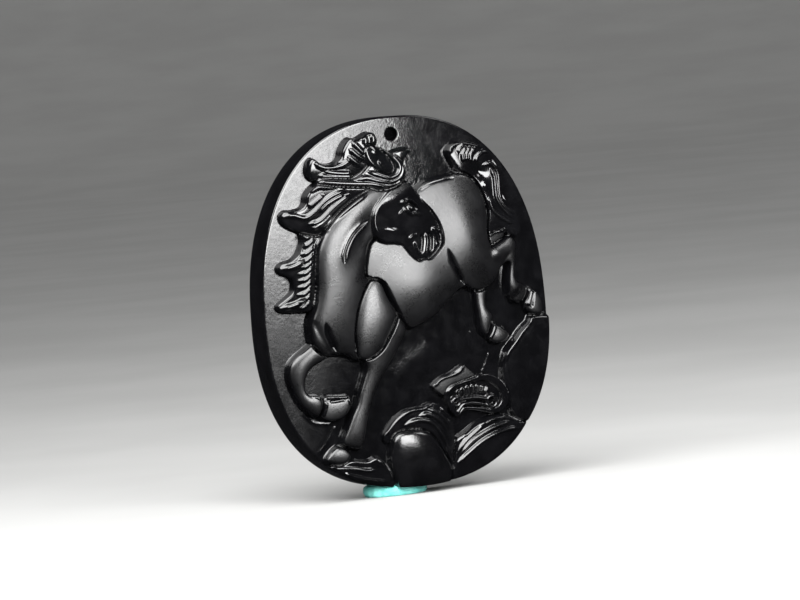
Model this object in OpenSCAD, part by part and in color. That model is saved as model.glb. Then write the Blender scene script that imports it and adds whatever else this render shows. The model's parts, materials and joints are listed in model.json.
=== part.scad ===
// Oval pendant of black stone, carved in relief with a horse above rocks and
// a ruyi-shaped fungus, standing on its edge in a small pad of putty.
//
// Frame: +Z up, +X to the right of somebody who looks at the carved face,
// the carved face towards -Y. The origin is on the pad's underside, below
// the middle of the plate, half way through the plate's thickness.

/* [Stone plate] */
// Width of the oval plate at its middle
plate_w = 42.6; // [36:0.1:48]
// Height of the oval plate
plate_h = 51.2; // [44:0.1:58]
// Thickness of the plate behind the carving
plate_t = 5; // [4:0.1:8]
// Squareness of the oval, where 2 is an ellipse
oval_power = 2.33; // [2.2:0.01:2.8]
// Share by which the foot of the oval is wider than its middle
foot_flare = 0.034; // [0:0.001:0.05]
// Size of the bevel round the front and back faces
edge_bevel = 0.3; // [0.2:0.1:1]

/* [Hanging hole] */
// Diameter of the drilled hole for a cord
hole_d = 1.8; // [1.2:0.1:2.2]
// Distance from the top edge down to the middle of the hole
hole_drop = 2.5; // [2:0.05:3]

/* [Relief] */
// Height of the carved walls where they rise from the face
wall_h = 1.5; // [1:0.1:2.2]
// Height that the fullest forms have above the walls
crown_h = 1.0; // [0.6:0.1:1.5]
// Width of the raised strands of hair and of the rock folds
strand_w = 0.6; // [0.4:0.05:0.8]

/* [Putty pad] */
// Width of the pad
pad_w = 9.6; // [8:0.1:14]
// Depth of the pad, from front to back
pad_d = 6; // [5:0.1:8]
// Thickness of the putty under the lowest point of the stone
pad_under = 0.9; // [0.6:0.1:3]
// Height of the pad's ends
pad_h = 2; // [1.6:0.1:4]
// How far left of the middle the pad sits
pad_left = 3.1; // [0:0.1:4]

/* [Hidden] */

stone_satin = [0.10, 0.10, 0.11];
stone_polished = [0.03, 0.03, 0.035];
putty_green = [0.35, 0.78, 0.75];

// The outlines below are drawn for a plate of this size, centred on 0, 0
drawn_w = 42.6;
drawn_h = 51.2;
centre_z = pad_under + plate_h / 2;
face_y = -plate_t / 2;
// How far inwards the middle and top steps of a carved form are drawn
middle_inset = 0.35;
top_inset = 0.9;
oval_steps = 96;
loop_steps = 3;
line_steps = 4;

// ---- Curves -------------------------------------------------------------

function spline(a, b, c, d, t) =
    0.5 * (2 * b + (c - a) * t + (2 * a - 5 * b + 4 * c - d) * t * t
           + (3 * b - a - 3 * c + d) * t * t * t);

// A smooth closed loop through the points p
function loop(p) =
    let (n = len(p))
    [for (i = [0 : n - 1]) for (k = [0 : loop_steps - 1])
        spline(p[(i + n - 1) % n], p[i], p[(i + 1) % n], p[(i + 2) % n], k / loop_steps)];

// A smooth open line through the points p
function line(p) =
    let (n = len(p))
    concat([for (i = [0 : n - 2]) for (k = [0 : line_steps - 1])
        spline(p[max(i - 1, 0)], p[i], p[i + 1], p[min(i + 2, n - 1)], k / line_steps)],
        [p[n - 1]]);

// Unit vector across an open line at its point i
function across(p, i) =
    let (d = p[min(i + 1, len(p) - 1)] - p[max(i - 1, 0)])
    [-d.y, d.x] / norm(d);

// A strand narrows to a third of its width at both ends
function narrowing(t) = min(1, 1 / 3 + 4 * t, 1 / 3 + 4 * (1 - t));

// Outline of a strand of width w along the points p
function strand(p, w) =
    let (q = line(p), n = len(q))
    concat([for (i = [0 : n - 1]) q[i] + across(q, i) * w / 2 * narrowing(i / (n - 1))],
           [for (i = [n - 1 : -1 : 0]) q[i] - across(q, i) * w / 2 * narrowing(i / (n - 1))]);

// The plate's oval, drawn inwards by inset
function oval(inset) =
    [for (i = [0 : oval_steps - 1])
        let (a = 360 * i / oval_steps, c = cos(a), s = sin(a),
             x = (plate_w / 2 - inset) * sign(c) * pow(abs(c), 2 / oval_power),
             z = (plate_h / 2 - inset) * sign(s) * pow(abs(s), 2 / oval_power))
        [x * (1 - foot_flare * 2 * z / plate_h), z]];

// ---- Outlines of the carved forms: x to the right, z up -----------------

head_line = loop([[-2.7, 15], [-1.2, 15.9], [0.6, 16.5], [1.3, 16.2], [2.1, 14.8], [3, 13.4],
    [4.1, 12], [4.9, 10.3], [5.2, 8.8], [5.1, 7.5], [4.3, 6.5], [3.1, 5.7], [2.2, 5.8],
    [1.3, 5.6], [0.3, 6.5], [-0.6, 7.7], [-1.8, 8.3], [-3.2, 8.5], [-4.4, 9.1],
    [-4.9, 10.4], [-4.9, 11.8], [-4.5, 13.1], [-3.7, 14.1]]);

near_ear_line = loop([[-5.1, 21.2], [-4.4, 21.9], [-3.6, 21.8], [-2.6, 21.1], [-1.7, 20.3],
    [-1.1, 19.3], [-0.9, 18.4], [-1.3, 17.9], [-2.2, 17.9], [-3.2, 18.3], [-4.2, 19],
    [-4.9, 20]]);

far_ear_line = loop([[-1.2, 20.3], [-0.2, 20.8], [1, 21], [2.1, 20.9], [1.5, 20.1],
    [0.8, 19.4], [0.3, 19], [-0.5, 19.4]]);

forelock_line = loop([[-2.6, 21.3], [-1, 20.5], [0.2, 19.5], [0.7, 18.4], [0.6, 17.2],
    [-0.2, 16.3], [-1.6, 15.8], [-3.4, 15.7], [-4.8, 16.2], [-6.5, 16.4], [-9, 16.7],
    [-11.2, 17.1], [-12.2, 17.4], [-11.5, 17.9], [-9.5, 17.8], [-7.2, 17.6], [-5.8, 18.2],
    [-5, 18.9], [-4, 19.6]]);

mane_crest_line = loop([[-13.4, 19.2], [-13.1, 20.3], [-12.6, 20.8], [-12.1, 20.7],
    [-11.4, 20.1], [-10.4, 19.8], [-9.4, 19.9], [-8.6, 20.5], [-8.2, 21.6], [-7.5, 22.6],
    [-6.8, 23.1], [-6.2, 22.9], [-5.5, 23], [-4.4, 23.5], [-3.6, 23.6], [-3.1, 23],
    [-3.1, 22], [-4, 20.5], [-5, 18.7], [-7.2, 17.4], [-9.5, 17.6], [-11.5, 17.7],
    [-12.6, 17.8], [-13.2, 18.3]]);

mane_upper_line = loop([[-12.2, 17.4], [-13.3, 16.7], [-14, 15.8], [-14.3, 14.8],
    [-14.9, 14.2], [-16, 14], [-17.2, 14], [-17.8, 13.4], [-17.6, 12.4], [-16.8, 11.7],
    [-15.8, 11.2], [-15.1, 10.8], [-13.9, 10.4], [-12.6, 10.3], [-11.6, 11.2], [-10, 12.8],
    [-8, 14.3], [-6, 15.5], [-4.6, 16.3], [-6.5, 17], [-9, 17.3], [-11, 17.5]]);

mane_lower_line = loop([[-15.1, 10.9], [-15.1, 9.8], [-15.5, 8.8], [-16.1, 7.9], [-17, 7.3],
    [-18.3, 7], [-18.9, 6.4], [-18.6, 5.7], [-17.6, 5.2], [-17, 4.6], [-17, 3.6],
    [-17.4, 2.8], [-18.4, 2.1], [-19.4, 1.4], [-19.3, 0.7], [-18.3, 0.3], [-16.6, 0.2],
    [-15.2, 0.1], [-14.6, 0.5], [-14.2, 1.8], [-13.9, 4], [-13.7, 6.5], [-13.3, 8.7],
    [-12.4, 10.4], [-13.8, 11]]);

neck_chest_line = loop([[-4.4, 16.3], [-7, 15], [-9.6, 13.1], [-11.9, 10.9], [-13.2, 8.6],
    [-13.7, 6], [-13.9, 3], [-14.6, 0.4], [-15.2, -1.2], [-15.3, -3], [-14.9, -4.8],
    [-13.4, -6.1], [-11.6, -6.1], [-10, -6.5], [-8.8, -7], [-8, -6], [-7.8, -3],
    [-7.2, 0], [-6.4, 2], [-6, 3.6], [-6.4, 4.4], [-6.1, 6.2], [-5.3, 8.4], [-4, 9.5],
    [-2, 11], [-0.9, 13.5], [-1, 15], [-2.4, 16]]);

shoulder_line = loop([[-6, 3.3], [-7.1, 2], [-8, 0.3], [-8.6, -1.6], [-8.9, -3.6],
    [-8.8, -5.5], [-8.5, -6.9], [-7.4, -7.2], [-6.2, -6.8], [-5, -5.8], [-3.9, -4.3],
    [-3, -2.9], [-2.4, -1.6], [-2.8, -0.5], [-3.5, 1.2], [-4.2, 3], [-5.1, 3.6]]);

barrel_line = loop([[2.3, 15.2], [3.3, 15.8], [4.6, 16.3], [6.2, 16.6], [7.6, 16.8],
    [8.8, 16.8], [9.6, 14], [9, 8], [9, 3], [8.5, 1.3], [7.2, 0.7], [6, -0.2], [4.5, -1.5],
    [3, -2.6], [1.3, -3.3], [-0.2, -3.7], [-1.1, -3.4], [-2, -2], [-3.2, 0.5], [-4.4, 2.6],
    [-5.4, 3.4], [-6.4, 4.1], [-6.1, 6.2], [-5.3, 8.4], [-4, 9.2], [-1, 10], [1, 13]]);

haunch_line = loop([[5.6, 6.8], [6.2, 5], [6.9, 3.4], [7.8, 1.9], [9, 0.8], [10.4, 0.4],
    [11.8, 0.7], [13, 1.4], [13.7, 2.6], [13.6, 4.5], [12.9, 6.2], [12.5, 8.3],
    [12.8, 10.5], [12.7, 12.3], [12.1, 14.2], [11.3, 15.7], [10.2, 16.6], [8.9, 16.9],
    [7.4, 16.4], [6.2, 15], [5.4, 12.5], [5.2, 9.5]]);

haunch_fold_line = loop([[12.3, 7.5], [13, 8], [14.2, 8.4], [15.1, 8.4], [15.3, 7.9],
    [14.6, 7], [13.4, 6.6], [12.6, 6.7]]);

tail_line = loop([[9.3, 16.8], [8.8, 17.4], [8.3, 18.3], [7.8, 19.3], [7.7, 20.1],
    [8.2, 20.8], [9.1, 21.2], [10.2, 21.2], [11.4, 20.9], [12.6, 20.5], [13.7, 19.8],
    [14.5, 18.9], [15.1, 17.7], [15.4, 16.2], [15.4, 14.6], [15.7, 13.2], [16.4, 12],
    [17.4, 10.8], [18, 9.6], [18, 8.4], [17.4, 7.4], [16.6, 7.2], [15.6, 7.9], [14.9, 8.6],
    [13.6, 8.4], [12.4, 8], [12.4, 10.5], [12.2, 12.4], [11.7, 14.3], [10.8, 15.8],
    [10, 16.6]]);

foreleg_standing_line = loop([[-2.4, -1.6], [-1.5, -2.9], [-1.2, -3.8], [-2.2, -5.5],
    [-3.3, -7.2], [-4.3, -8.5], [-5.5, -10.2], [-6.5, -11.8], [-7.3, -13.7], [-7.9, -15.5],
    [-8.3, -17], [-8.6, -18.4], [-9, -19.2], [-9.9, -19.3], [-10.9, -19], [-11.7, -18.5],
    [-11.7, -17.7], [-11, -16.3], [-10.2, -14.7], [-9.3, -13.1], [-8.8, -11.5],
    [-8.1, -9.8], [-7.6, -8.4], [-7.2, -6.6], [-5, -5], [-3.5, -3]]);

hoof_standing_line = loop([[-12.5, -18.7], [-11.7, -18.9], [-11, -19.4], [-10.6, -20.1],
    [-11, -20.8], [-11.9, -21.2], [-13.3, -21.1], [-14.3, -20.5], [-13.9, -19.7],
    [-13.1, -19]]);

foreleg_raised_line = loop([[-15, -4.2], [-16.1, -4.9], [-17.4, -5.7], [-18.4, -6.6],
    [-18.8, -7.7], [-18.8, -9], [-18.4, -10.3], [-17.8, -11.8], [-17, -13], [-16.1, -13.9],
    [-15.2, -14.3], [-14.7, -13.9], [-14.3, -12.9], [-14.4, -11.8], [-15, -11.3],
    [-16, -11.2], [-16.5, -10.5], [-16.5, -9.5], [-16.1, -8.4], [-15.3, -7.5],
    [-14.2, -6.9], [-12.9, -6.3], [-13, -5.4], [-14.2, -4.6]]);

hoof_raised_line = loop([[-13.9, -11.7], [-12.9, -11.6], [-11.6, -11.8], [-10.5, -11.8],
    [-10.1, -12.4], [-10.3, -13.5], [-11.1, -14.6], [-12.5, -15.1], [-14, -14.9],
    [-14.8, -14.3], [-14.4, -13.3], [-14.2, -12.4]]);

hind_leg_near_line = loop([[12.6, 6.2], [13.6, 6.6], [14.8, 7.1], [15.8, 7.5], [16.5, 7.3],
    [16.9, 6.6], [16.9, 5.6], [16.6, 4.4], [16.4, 3.2], [16.2, 2], [16.5, 1.2],
    [17.2, 0.9], [17.8, 0.3], [18, -0.4], [17.7, -1.2], [17, -1.8], [16.1, -1.9],
    [15.3, -1.3], [14.9, -0.3], [14.9, 1], [15.1, 2.4], [15.3, 3.7], [14.7, 3.6],
    [14, 2.9], [13.2, 1.6], [12.2, 2.4], [12, 4.4]]);

hind_hoof_near_line = loop([[18.3, 0], [19.1, -0.2], [19.8, -1], [20.2, -2], [20.2, -3],
    [19.9, -3.7], [18.8, -3.8], [17.9, -3.3], [17.3, -2.3], [17.7, -1.3], [18.1, -0.6]]);

hind_leg_far_line = loop([[9.9, 1], [9.9, -1.5], [10, -3.5], [10.2, -4.8], [10.6, -5.6],
    [11.2, -5.9], [11.8, -4.6], [12.3, -3.3], [12, -2.6], [11.6, -1.9], [11.6, -0.8],
    [12, 0.8], [11, 1.4]]);

hind_hoof_far_line = loop([[12.2, -4.4], [13.1, -4.6], [14.1, -5.3], [14.6, -6],
    [14.1, -6.8], [13.1, -7.2], [11.9, -6.9], [11.2, -6.2], [11.7, -5.4]]);

rock_ledge_line = loop([[-13.6, -21.4], [-12.2, -21.3], [-10.6, -20.9], [-9.2, -21.1],
    [-8, -21.2], [-6.9, -20.9], [-6.1, -21.4], [-5.4, -22.2], [-4.8, -23.3], [-4.2, -24.4],
    [-6, -25.4], [-9, -24.8], [-12, -23.8], [-14.6, -22.2]]);

boulder_line = loop([[-4.7, -19.8], [-4.4, -18.7], [-3.7, -17.9], [-2.4, -17.6],
    [-0.8, -17.6], [0.5, -17.9], [1.6, -18.6], [2.4, -19.7], [3.1, -21], [3.8, -22.3],
    [4.2, -23.4], [3.6, -25.4], [0, -26], [-3, -25.8], [-4.2, -24.6], [-4.8, -22.6],
    [-4.9, -21]]);

boulder_folds_line = loop([[-5.5, -18.1], [-4.7, -16.9], [-3.6, -15.8], [-2.3, -15],
    [-0.9, -14.7], [0.6, -14.6], [2, -14.2], [3.4, -14.8], [4.5, -16.2], [5.1, -17.6],
    [5.2, -19.5], [4.9, -21.5], [4.6, -23.4], [3.6, -23.2], [2, -20], [-1, -18.6],
    [-4, -19], [-5.2, -19]]);

rock_folds_line = loop([[5.3, -19.8], [6.7, -19], [8.4, -18], [10.1, -17.4], [11.8, -17.1],
    [13.3, -17.4], [14.9, -18.2], [16.5, -19.4], [14, -23], [9, -26], [5, -26.4],
    [4, -24.8], [4.4, -23.2], [4.9, -21.5]]);

cliff_line = loop([[21, -4.1], [18.5, -4], [17.9, -4.7], [17.1, -5.3], [16.3, -6],
    [15.5, -6.9], [14.7, -7.7], [14, -8.5], [13.5, -9.7], [13.2, -11], [13.3, -12.4],
    [13.6, -14], [14, -15.6], [14.2, -16.8], [15.3, -18.1], [18, -19.5], [22, -17],
    [24.5, -10], [23.5, -5]]);

lingzhi_petal_line = loop([[2.4, -12.1], [3.1, -11.4], [4, -10.9], [5.2, -10.6],
    [6.2, -10.1], [7.3, -9.6], [8, -10.1], [8.8, -10.9], [9.5, -11.5], [8.3, -11.8],
    [6.6, -12], [5.4, -12.3], [4.6, -12.8], [4.1, -13.5], [3.3, -13.1]]);

lingzhi_cap_line = loop([[4.1, -13.4], [4.8, -12.4], [6.3, -11.8], [8, -11.4],
    [9.5, -11.1], [11, -11.2], [12.4, -12], [13.4, -13.1], [13.9, -14.5], [13.6, -15.8],
    [12.6, -16.6], [11, -16.7], [9.7, -16.3], [8, -15.9], [6.8, -15.9], [5.8, -16.5],
    [5, -16], [4.5, -14.8]]);

// ---- Strands and folds that stand on those forms ------------------------

crest_strands = [
    [[-12.2, 19.6], [-10.8, 19], [-9, 18.7], [-7.6, 18.4]],
    [[-12, 18.6], [-10.5, 18.2], [-8.8, 18], [-7.4, 17.9]],
    [[-10.8, 19.4], [-9.2, 19.4], [-7.9, 19.8], [-6.9, 20.6]],
    [[-7.5, 20.6], [-6.7, 19.9], [-5.9, 19.3], [-5.3, 18.9]],
    [[-7.2, 21.6], [-6.5, 20.9], [-5.9, 20.4], [-5.4, 20]],
    [[-6.6, 22.4], [-6.1, 21.8], [-5.6, 21.2], [-5.3, 20.9]],
    [[-4.9, 23], [-4.9, 22.6], [-5, 22.2], [-5.1, 21.8]],
    [[-3.8, 23.1], [-3.7, 22.7], [-3.7, 22.4], [-3.8, 22.1]]];

forelock_strands = [
    [[-1.1, 20.1], [-0.2, 19.2], [0, 18.3], [-0.6, 17.5], [-1.9, 17.2], [-3.4, 17.7],
     [-4.6, 18.2]],
    [[0.1, 19], [0.3, 18], [-0.3, 17], [-1.9, 16.5], [-3.8, 17], [-5.6, 17.5], [-7, 17.3]],
    [[0.3, 17.2], [-0.8, 16.3], [-2.6, 16.1], [-4.4, 16.5], [-6.6, 16.8], [-9, 17.1],
     [-11.2, 17.5]]];

upper_strands = [
    [[-16.9, 13.5], [-15.6, 13.2], [-14.2, 13.3], [-12.9, 14], [-11.8, 15], [-10.4, 15.8],
     [-8.6, 16.2]],
    [[-14.9, 12.6], [-13.4, 12.5], [-12, 13.2], [-10.8, 14.2], [-9.4, 14.9], [-8.2, 15.2]],
    [[-13.8, 11.6], [-12.4, 12], [-11.2, 12.9], [-10, 13.7]],
    [[-13.4, 14.5], [-12.8, 15.1], [-12.1, 15.7]],
    [[-12.8, 16.6], [-11.2, 16.4], [-9.4, 16.5], [-7.2, 16.2]]];

lower_strand_heights = [10.2, 9.2, 8.1, 7.1, 6.3, 5.5, 4.7, 3.4, 2.6, 1.5];

tail_strands = [
    [[9.6, 20.7], [9.1, 20.2], [9, 19.6]],
    [[10.4, 20.7], [9.9, 20], [9.7, 19.2], [9.8, 18.6]],
    [[11.1, 20.6], [10.6, 19.9], [10.3, 19.2], [10.3, 18.5]],
    [[11.7, 20.4], [11.2, 19.9], [10.9, 19.4]],
    [[13.2, 19.7], [12.2, 19.3], [11.6, 18.7], [11.4, 18.1]],
    [[12.4, 17.9], [13.4, 17.9], [14.2, 17.2], [14.6, 16], [14.6, 14.4], [14.9, 12.8],
     [15.7, 11.5], [17.4, 10.4]],
    [[14.3, 18.6], [15, 17.2], [15.1, 15.6], [15.1, 14], [15.7, 12.6], [16.8, 11.4]],
    [[13.8, 15.6], [13.7, 13.8], [14, 12.2], [14.9, 11], [16.2, 10]],
    [[13, 14], [13.1, 12], [13.7, 10.6], [14.8, 9.6]]];

fold_strands = [
    [[-5.2, -18], [-4.4, -16.8], [-3.2, -15.6], [-1.6, -14.9], [0.4, -14.8], [2, -14.4]],
    [[-2.3, -16.9], [-0.6, -16.4], [1, -16.6], [2.5, -17.6], [3.5, -19.2], [4.1, -21],
     [4.3, -23]],
    [[0.5, -15.7], [2, -15.9], [3.4, -17], [4.3, -18.7], [4.7, -20.5]],
    [[2.6, -15.2], [3.7, -15.5], [4.6, -16.8], [5, -18.2]]];

rock_strands = [
    [[5.5, -20.1], [6.9, -19.2], [8.6, -18.2], [10.2, -17.7], [11.8, -17.5], [13.2, -17.8]],
    [[5.4, -20.9], [6.9, -19.9], [8.6, -18.9], [10.4, -18.3], [12, -18.1], [13.4, -18.3]],
    [[5.3, -21.8], [6.9, -20.6], [8.6, -19.7], [10.4, -19], [12, -18.7], [13.4, -18.7]],
    [[5, -23.1], [6, -22.3], [7.4, -21.3], [9, -20.5], [10.8, -19.9], [12.6, -19.5]]];

cliff_strands = [
    [[17.3, -5.6], [16.5, -6.3], [15.7, -7.2], [14.9, -8], [14.2, -8.8], [13.8, -9.9]]];

scroll_bars = [
    [[6.3, -14.4], [7.4, -14.3], [8.6, -14.3], [9.6, -14.5], [10.4, -14.7]],
    [[5.9, -16], [6.4, -15.4], [7, -15], [8.4, -15], [9.6, -15.3], [10.4, -15.6]]];
scroll_curls = [[5.8, -14.6, 0.7], [11.2, -15.1, 1]];

// Ribs under the rim of the fungus cap, fanned out about their middle one
rib_count = 7;
rib_middle = [8.65, -13];
rib_pitch = 0.75;
rib_fan = 3;
rib_size = [0.35, 1];

// ---- Placing a drawing on the carved face -------------------------------

module on_face(from, to) {
    translate([0, face_y - from, centre_z])
        rotate([90, 0, 0])
            linear_extrude(to - from)
                scale([plate_w / drawn_w, plate_h / drawn_h])
                    children();
}

// One step of a form: the outline drawn inwards, less the forms in front of it
module step(outline, in_front, inset, from, to) {
    on_face(from, to)
        difference() {
            offset(delta = -inset) polygon(outline);
            for (other = in_front) polygon(other);
        }
}

// A form that rises from the face in three steps, up to height top
module form(outline, in_front, low, top) {
    step(outline, in_front, 0, 0, low);
    step(outline, in_front, middle_inset, low, (low + top) / 2);
    step(outline, in_front, top_inset, (low + top) / 2, top);
}

// A flat form with raised strands on it
module stranded(outline, in_front, low, strands, rise) {
    step(outline, in_front, 0, 0, low);
    on_face(low, low + rise)
        difference() {
            intersection() {
                offset(delta = -0.1) polygon(outline);
                for (s = strands) polygon(strand(s, strand_w));
            }
            for (other = in_front) polygon(other);
        }
}

// Rock that runs out to the plate's edge stops at the bevel
module to_edge(from, to) {
    intersection() {
        children();
        translate([0, face_y - from, centre_z])
            rotate([90, 0, 0])
                linear_extrude(to - from)
                    polygon(oval(edge_bevel));
    }
}

// ---- The stone and its pad ----------------------------------------------

module plate_blank() {
    translate([0, plate_t / 2, centre_z])
        rotate([90, 0, 0])
            hull() {
                linear_extrude(plate_t) polygon(oval(edge_bevel));
                translate([0, 0, edge_bevel])
                    linear_extrude(plate_t - 2 * edge_bevel) polygon(oval(0));
            }
}

module plate() {
    color(stone_satin)
        difference() {
            plate_blank();
            translate([0, plate_t, centre_z + plate_h / 2 - hole_drop])
                rotate([90, 0, 0])
                    cylinder(h = 2 * plate_t, d = hole_d, $fn = 48);
        }
}

module putty_pad() {
    end_r = pad_d / 2;
    color(putty_green)
        difference() {
            translate([-pad_left, 0, 0])
                linear_extrude(pad_h)
                    hull()
                        for (side = [-1, 1])
                            translate([side * (pad_w / 2 - end_r), 0])
                                circle(r = end_r, $fn = 40);
            plate_blank();
        }
}

// ---- The horse ------------------------------------------------------------

module head()
    color(stone_satin)
        form(head_line, [forelock_line, near_ear_line], wall_h + 0.4, wall_h + crown_h + 0.4);

module near_ear()
    color(stone_polished)
        form(near_ear_line, [], wall_h + 0.5, wall_h + crown_h);

module far_ear()
    color(stone_polished)
        step(far_ear_line, [near_ear_line, forelock_line], 0, 0, wall_h);

module forelock()
    color(stone_polished)
        stranded(forelock_line, [near_ear_line], wall_h + 0.2, forelock_strands, 0.5);

module mane_crest()
    color(stone_polished)
        stranded(mane_crest_line, [near_ear_line, forelock_line], wall_h, crest_strands, 0.5);

module mane_upper()
    color(stone_polished)
        stranded(mane_upper_line, [mane_crest_line, forelock_line], wall_h - 0.1,
                 upper_strands, 0.5);

module mane_lower() {
    strands = [for (z = lower_strand_heights)
        [[-16.4, z - 0.6], [-15.4, z - 0.4], [-14.6, z], [-14, z + 0.5]]];
    color(stone_polished)
        stranded(mane_lower_line, [mane_upper_line], wall_h - 0.2, strands, 0.4);
}

module neck_chest()
    color(stone_satin)
        form(neck_chest_line,
             [head_line, forelock_line, near_ear_line, mane_upper_line, mane_lower_line,
              shoulder_line],
             wall_h, wall_h + crown_h);

module shoulder()
    color(stone_satin)
        form(shoulder_line, [], wall_h, wall_h + crown_h);

module barrel()
    color(stone_satin)
        form(barrel_line,
             [head_line, neck_chest_line, shoulder_line, foreleg_standing_line, haunch_line],
             wall_h, wall_h + 0.7 * crown_h);

module haunch()
    color(stone_satin)
        form(haunch_line, [head_line], wall_h, wall_h + crown_h);

module haunch_fold()
    color(stone_satin)
        step(haunch_fold_line, [haunch_line, hind_leg_near_line], 0, 0, wall_h - 0.2);

module tail()
    color(stone_polished)
        stranded(tail_line, [haunch_line, haunch_fold_line, hind_leg_near_line],
                 wall_h - 0.2, tail_strands, 0.5);

module foreleg_standing()
    color(stone_satin)
        form(foreleg_standing_line, [shoulder_line, neck_chest_line], wall_h,
             wall_h + 0.5 * crown_h);

module hoof_standing()
    color(stone_satin)
        form(hoof_standing_line, [foreleg_standing_line], wall_h - 0.3, wall_h + 0.2);

module foreleg_raised()
    color(stone_satin)
        form(foreleg_raised_line, [neck_chest_line], wall_h, wall_h + 0.5 * crown_h);

module hoof_raised()
    color(stone_satin)
        form(hoof_raised_line, [foreleg_raised_line], wall_h - 0.2, wall_h + 0.3);

module hind_leg_near()
    color(stone_satin)
        form(hind_leg_near_line, [haunch_line], wall_h, wall_h + 0.6 * crown_h);

module hind_hoof_near()
    color(stone_satin)
        form(hind_hoof_near_line, [hind_leg_near_line], wall_h - 0.2, wall_h + 0.3);

module hind_leg_far()
    color(stone_satin)
        form(hind_leg_far_line, [haunch_line], wall_h - 0.4, wall_h);

module hind_hoof_far()
    color(stone_satin)
        form(hind_hoof_far_line, [hind_leg_far_line], wall_h - 0.5, wall_h);

// ---- The rocks and the fungus ----------------------------------------------

module rock_ledge()
    color(stone_polished)
        to_edge(0, wall_h)
            form(rock_ledge_line, [hoof_standing_line, boulder_line], 0.5, 1.1);

module boulder()
    color(stone_polished)
        to_edge(0, wall_h + crown_h)
            form(boulder_line, [], wall_h - 0.3, wall_h + 0.5);

module boulder_folds()
    color(stone_polished)
        stranded(boulder_folds_line, [boulder_line], wall_h - 0.6, fold_strands, 0.5);

module rock_folds()
    color(stone_polished)
        to_edge(0, wall_h + crown_h)
            stranded(rock_folds_line, [boulder_line, boulder_folds_line], wall_h - 0.9,
                     rock_strands, 0.5);

module cliff()
    color(stone_polished)
        to_edge(0, wall_h)
            stranded(cliff_line, [hind_hoof_near_line, lingzhi_cap_line, rock_folds_line],
                     0.6, cliff_strands, 0.3);

module lingzhi_petal()
    color(stone_polished)
        form(lingzhi_petal_line, [], wall_h - 0.6, wall_h - 0.1);

module lingzhi_cap() {
    low = wall_h - 0.8;
    color(stone_polished) {
        step(lingzhi_cap_line, [lingzhi_petal_line], 0, 0, low);
        on_face(low, low + 0.3)
            for (i = [0 : rib_count - 1])
                let (side = i - (rib_count - 1) / 2)
                    translate(rib_middle + [rib_pitch * side, 0])
                        rotate(rib_fan * side)
                            square(rib_size, center = true);
    }
}

module lingzhi_scroll() {
    low = wall_h - 0.8;
    color(stone_polished)
        on_face(low, low + 0.5) {
            for (bar = scroll_bars) polygon(strand(bar, 0.5));
            for (curl = scroll_curls)
                translate([curl.x, curl.y])
                    difference() {
                        circle(r = curl[2], $fn = 24);
                        circle(r = curl[2] / 2, $fn = 24);
                    }
        }
}

plate();
putty_pad();
head();
near_ear();
far_ear();
forelock();
mane_crest();
mane_upper();
mane_lower();
neck_chest();
shoulder();
barrel();
haunch();
haunch_fold();
tail();
foreleg_standing();
hoof_standing();
foreleg_raised();
hoof_raised();
hind_leg_near();
hind_hoof_near();
hind_leg_far();
hind_hoof_far();
rock_ledge();
boulder();
boulder_folds();
rock_folds();
cliff();
lingzhi_petal();
lingzhi_cap();
lingzhi_scroll();
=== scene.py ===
"""A carved pendant of black stone: an oval plate with a horse in relief above rocks
and a fungus, standing in a pad of putty.

The carving is one height field over the plate's face, in millimetres: x to the right,
z up from the plate's middle, height off the plate's face. Forms are painted on it from
the back to the front, and each form then becomes a closed mesh of its own. A second
field, polish, says how the stone is finished: 0 is blasted satin and 1 is polished.
"""

import json
import math

import bmesh
import bpy
import numpy as np
from mathutils import Matrix, Vector, noise

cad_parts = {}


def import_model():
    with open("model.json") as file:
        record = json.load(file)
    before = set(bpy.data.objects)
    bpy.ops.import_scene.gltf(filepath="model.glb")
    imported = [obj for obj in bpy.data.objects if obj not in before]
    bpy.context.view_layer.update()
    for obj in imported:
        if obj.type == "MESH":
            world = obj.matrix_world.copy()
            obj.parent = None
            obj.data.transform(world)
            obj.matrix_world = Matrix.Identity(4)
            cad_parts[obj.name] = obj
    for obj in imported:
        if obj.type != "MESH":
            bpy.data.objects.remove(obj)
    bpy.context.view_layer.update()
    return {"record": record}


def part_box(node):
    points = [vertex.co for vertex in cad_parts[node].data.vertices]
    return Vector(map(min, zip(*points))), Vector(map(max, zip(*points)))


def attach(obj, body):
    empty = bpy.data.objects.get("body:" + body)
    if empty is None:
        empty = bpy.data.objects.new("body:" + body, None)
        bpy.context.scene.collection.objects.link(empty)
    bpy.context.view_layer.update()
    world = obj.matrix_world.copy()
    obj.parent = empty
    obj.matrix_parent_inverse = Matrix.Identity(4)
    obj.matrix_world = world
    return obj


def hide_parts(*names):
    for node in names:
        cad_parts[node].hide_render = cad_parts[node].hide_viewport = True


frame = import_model()

MM = 0.001

# ---- Camera ----

CAMERA_PLACE = Vector((-245.98, -557.9, 60.75)) * MM
CAMERA_AIM = Vector((-0.95, -2.5, 26.78)) * MM
CAMERA_ROLL = math.radians(-5.1)
CAMERA_LENS = 198.8


def make_camera():
    data = bpy.data.cameras.new("camera")
    data.lens = CAMERA_LENS
    data.clip_start = 0.05
    data.clip_end = 10
    camera = bpy.data.objects.new("camera", data)
    bpy.context.scene.collection.objects.link(camera)
    look = (CAMERA_AIM - CAMERA_PLACE).to_track_quat("-Z", "Y").to_matrix()
    turn = look @ Matrix.Rotation(CAMERA_ROLL, 3, "Z")
    camera.matrix_world = Matrix.Translation(CAMERA_PLACE) @ turn.to_4x4()
    bpy.context.scene.camera = camera


make_camera()

# ---- The plate, from the frame ----

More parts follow.
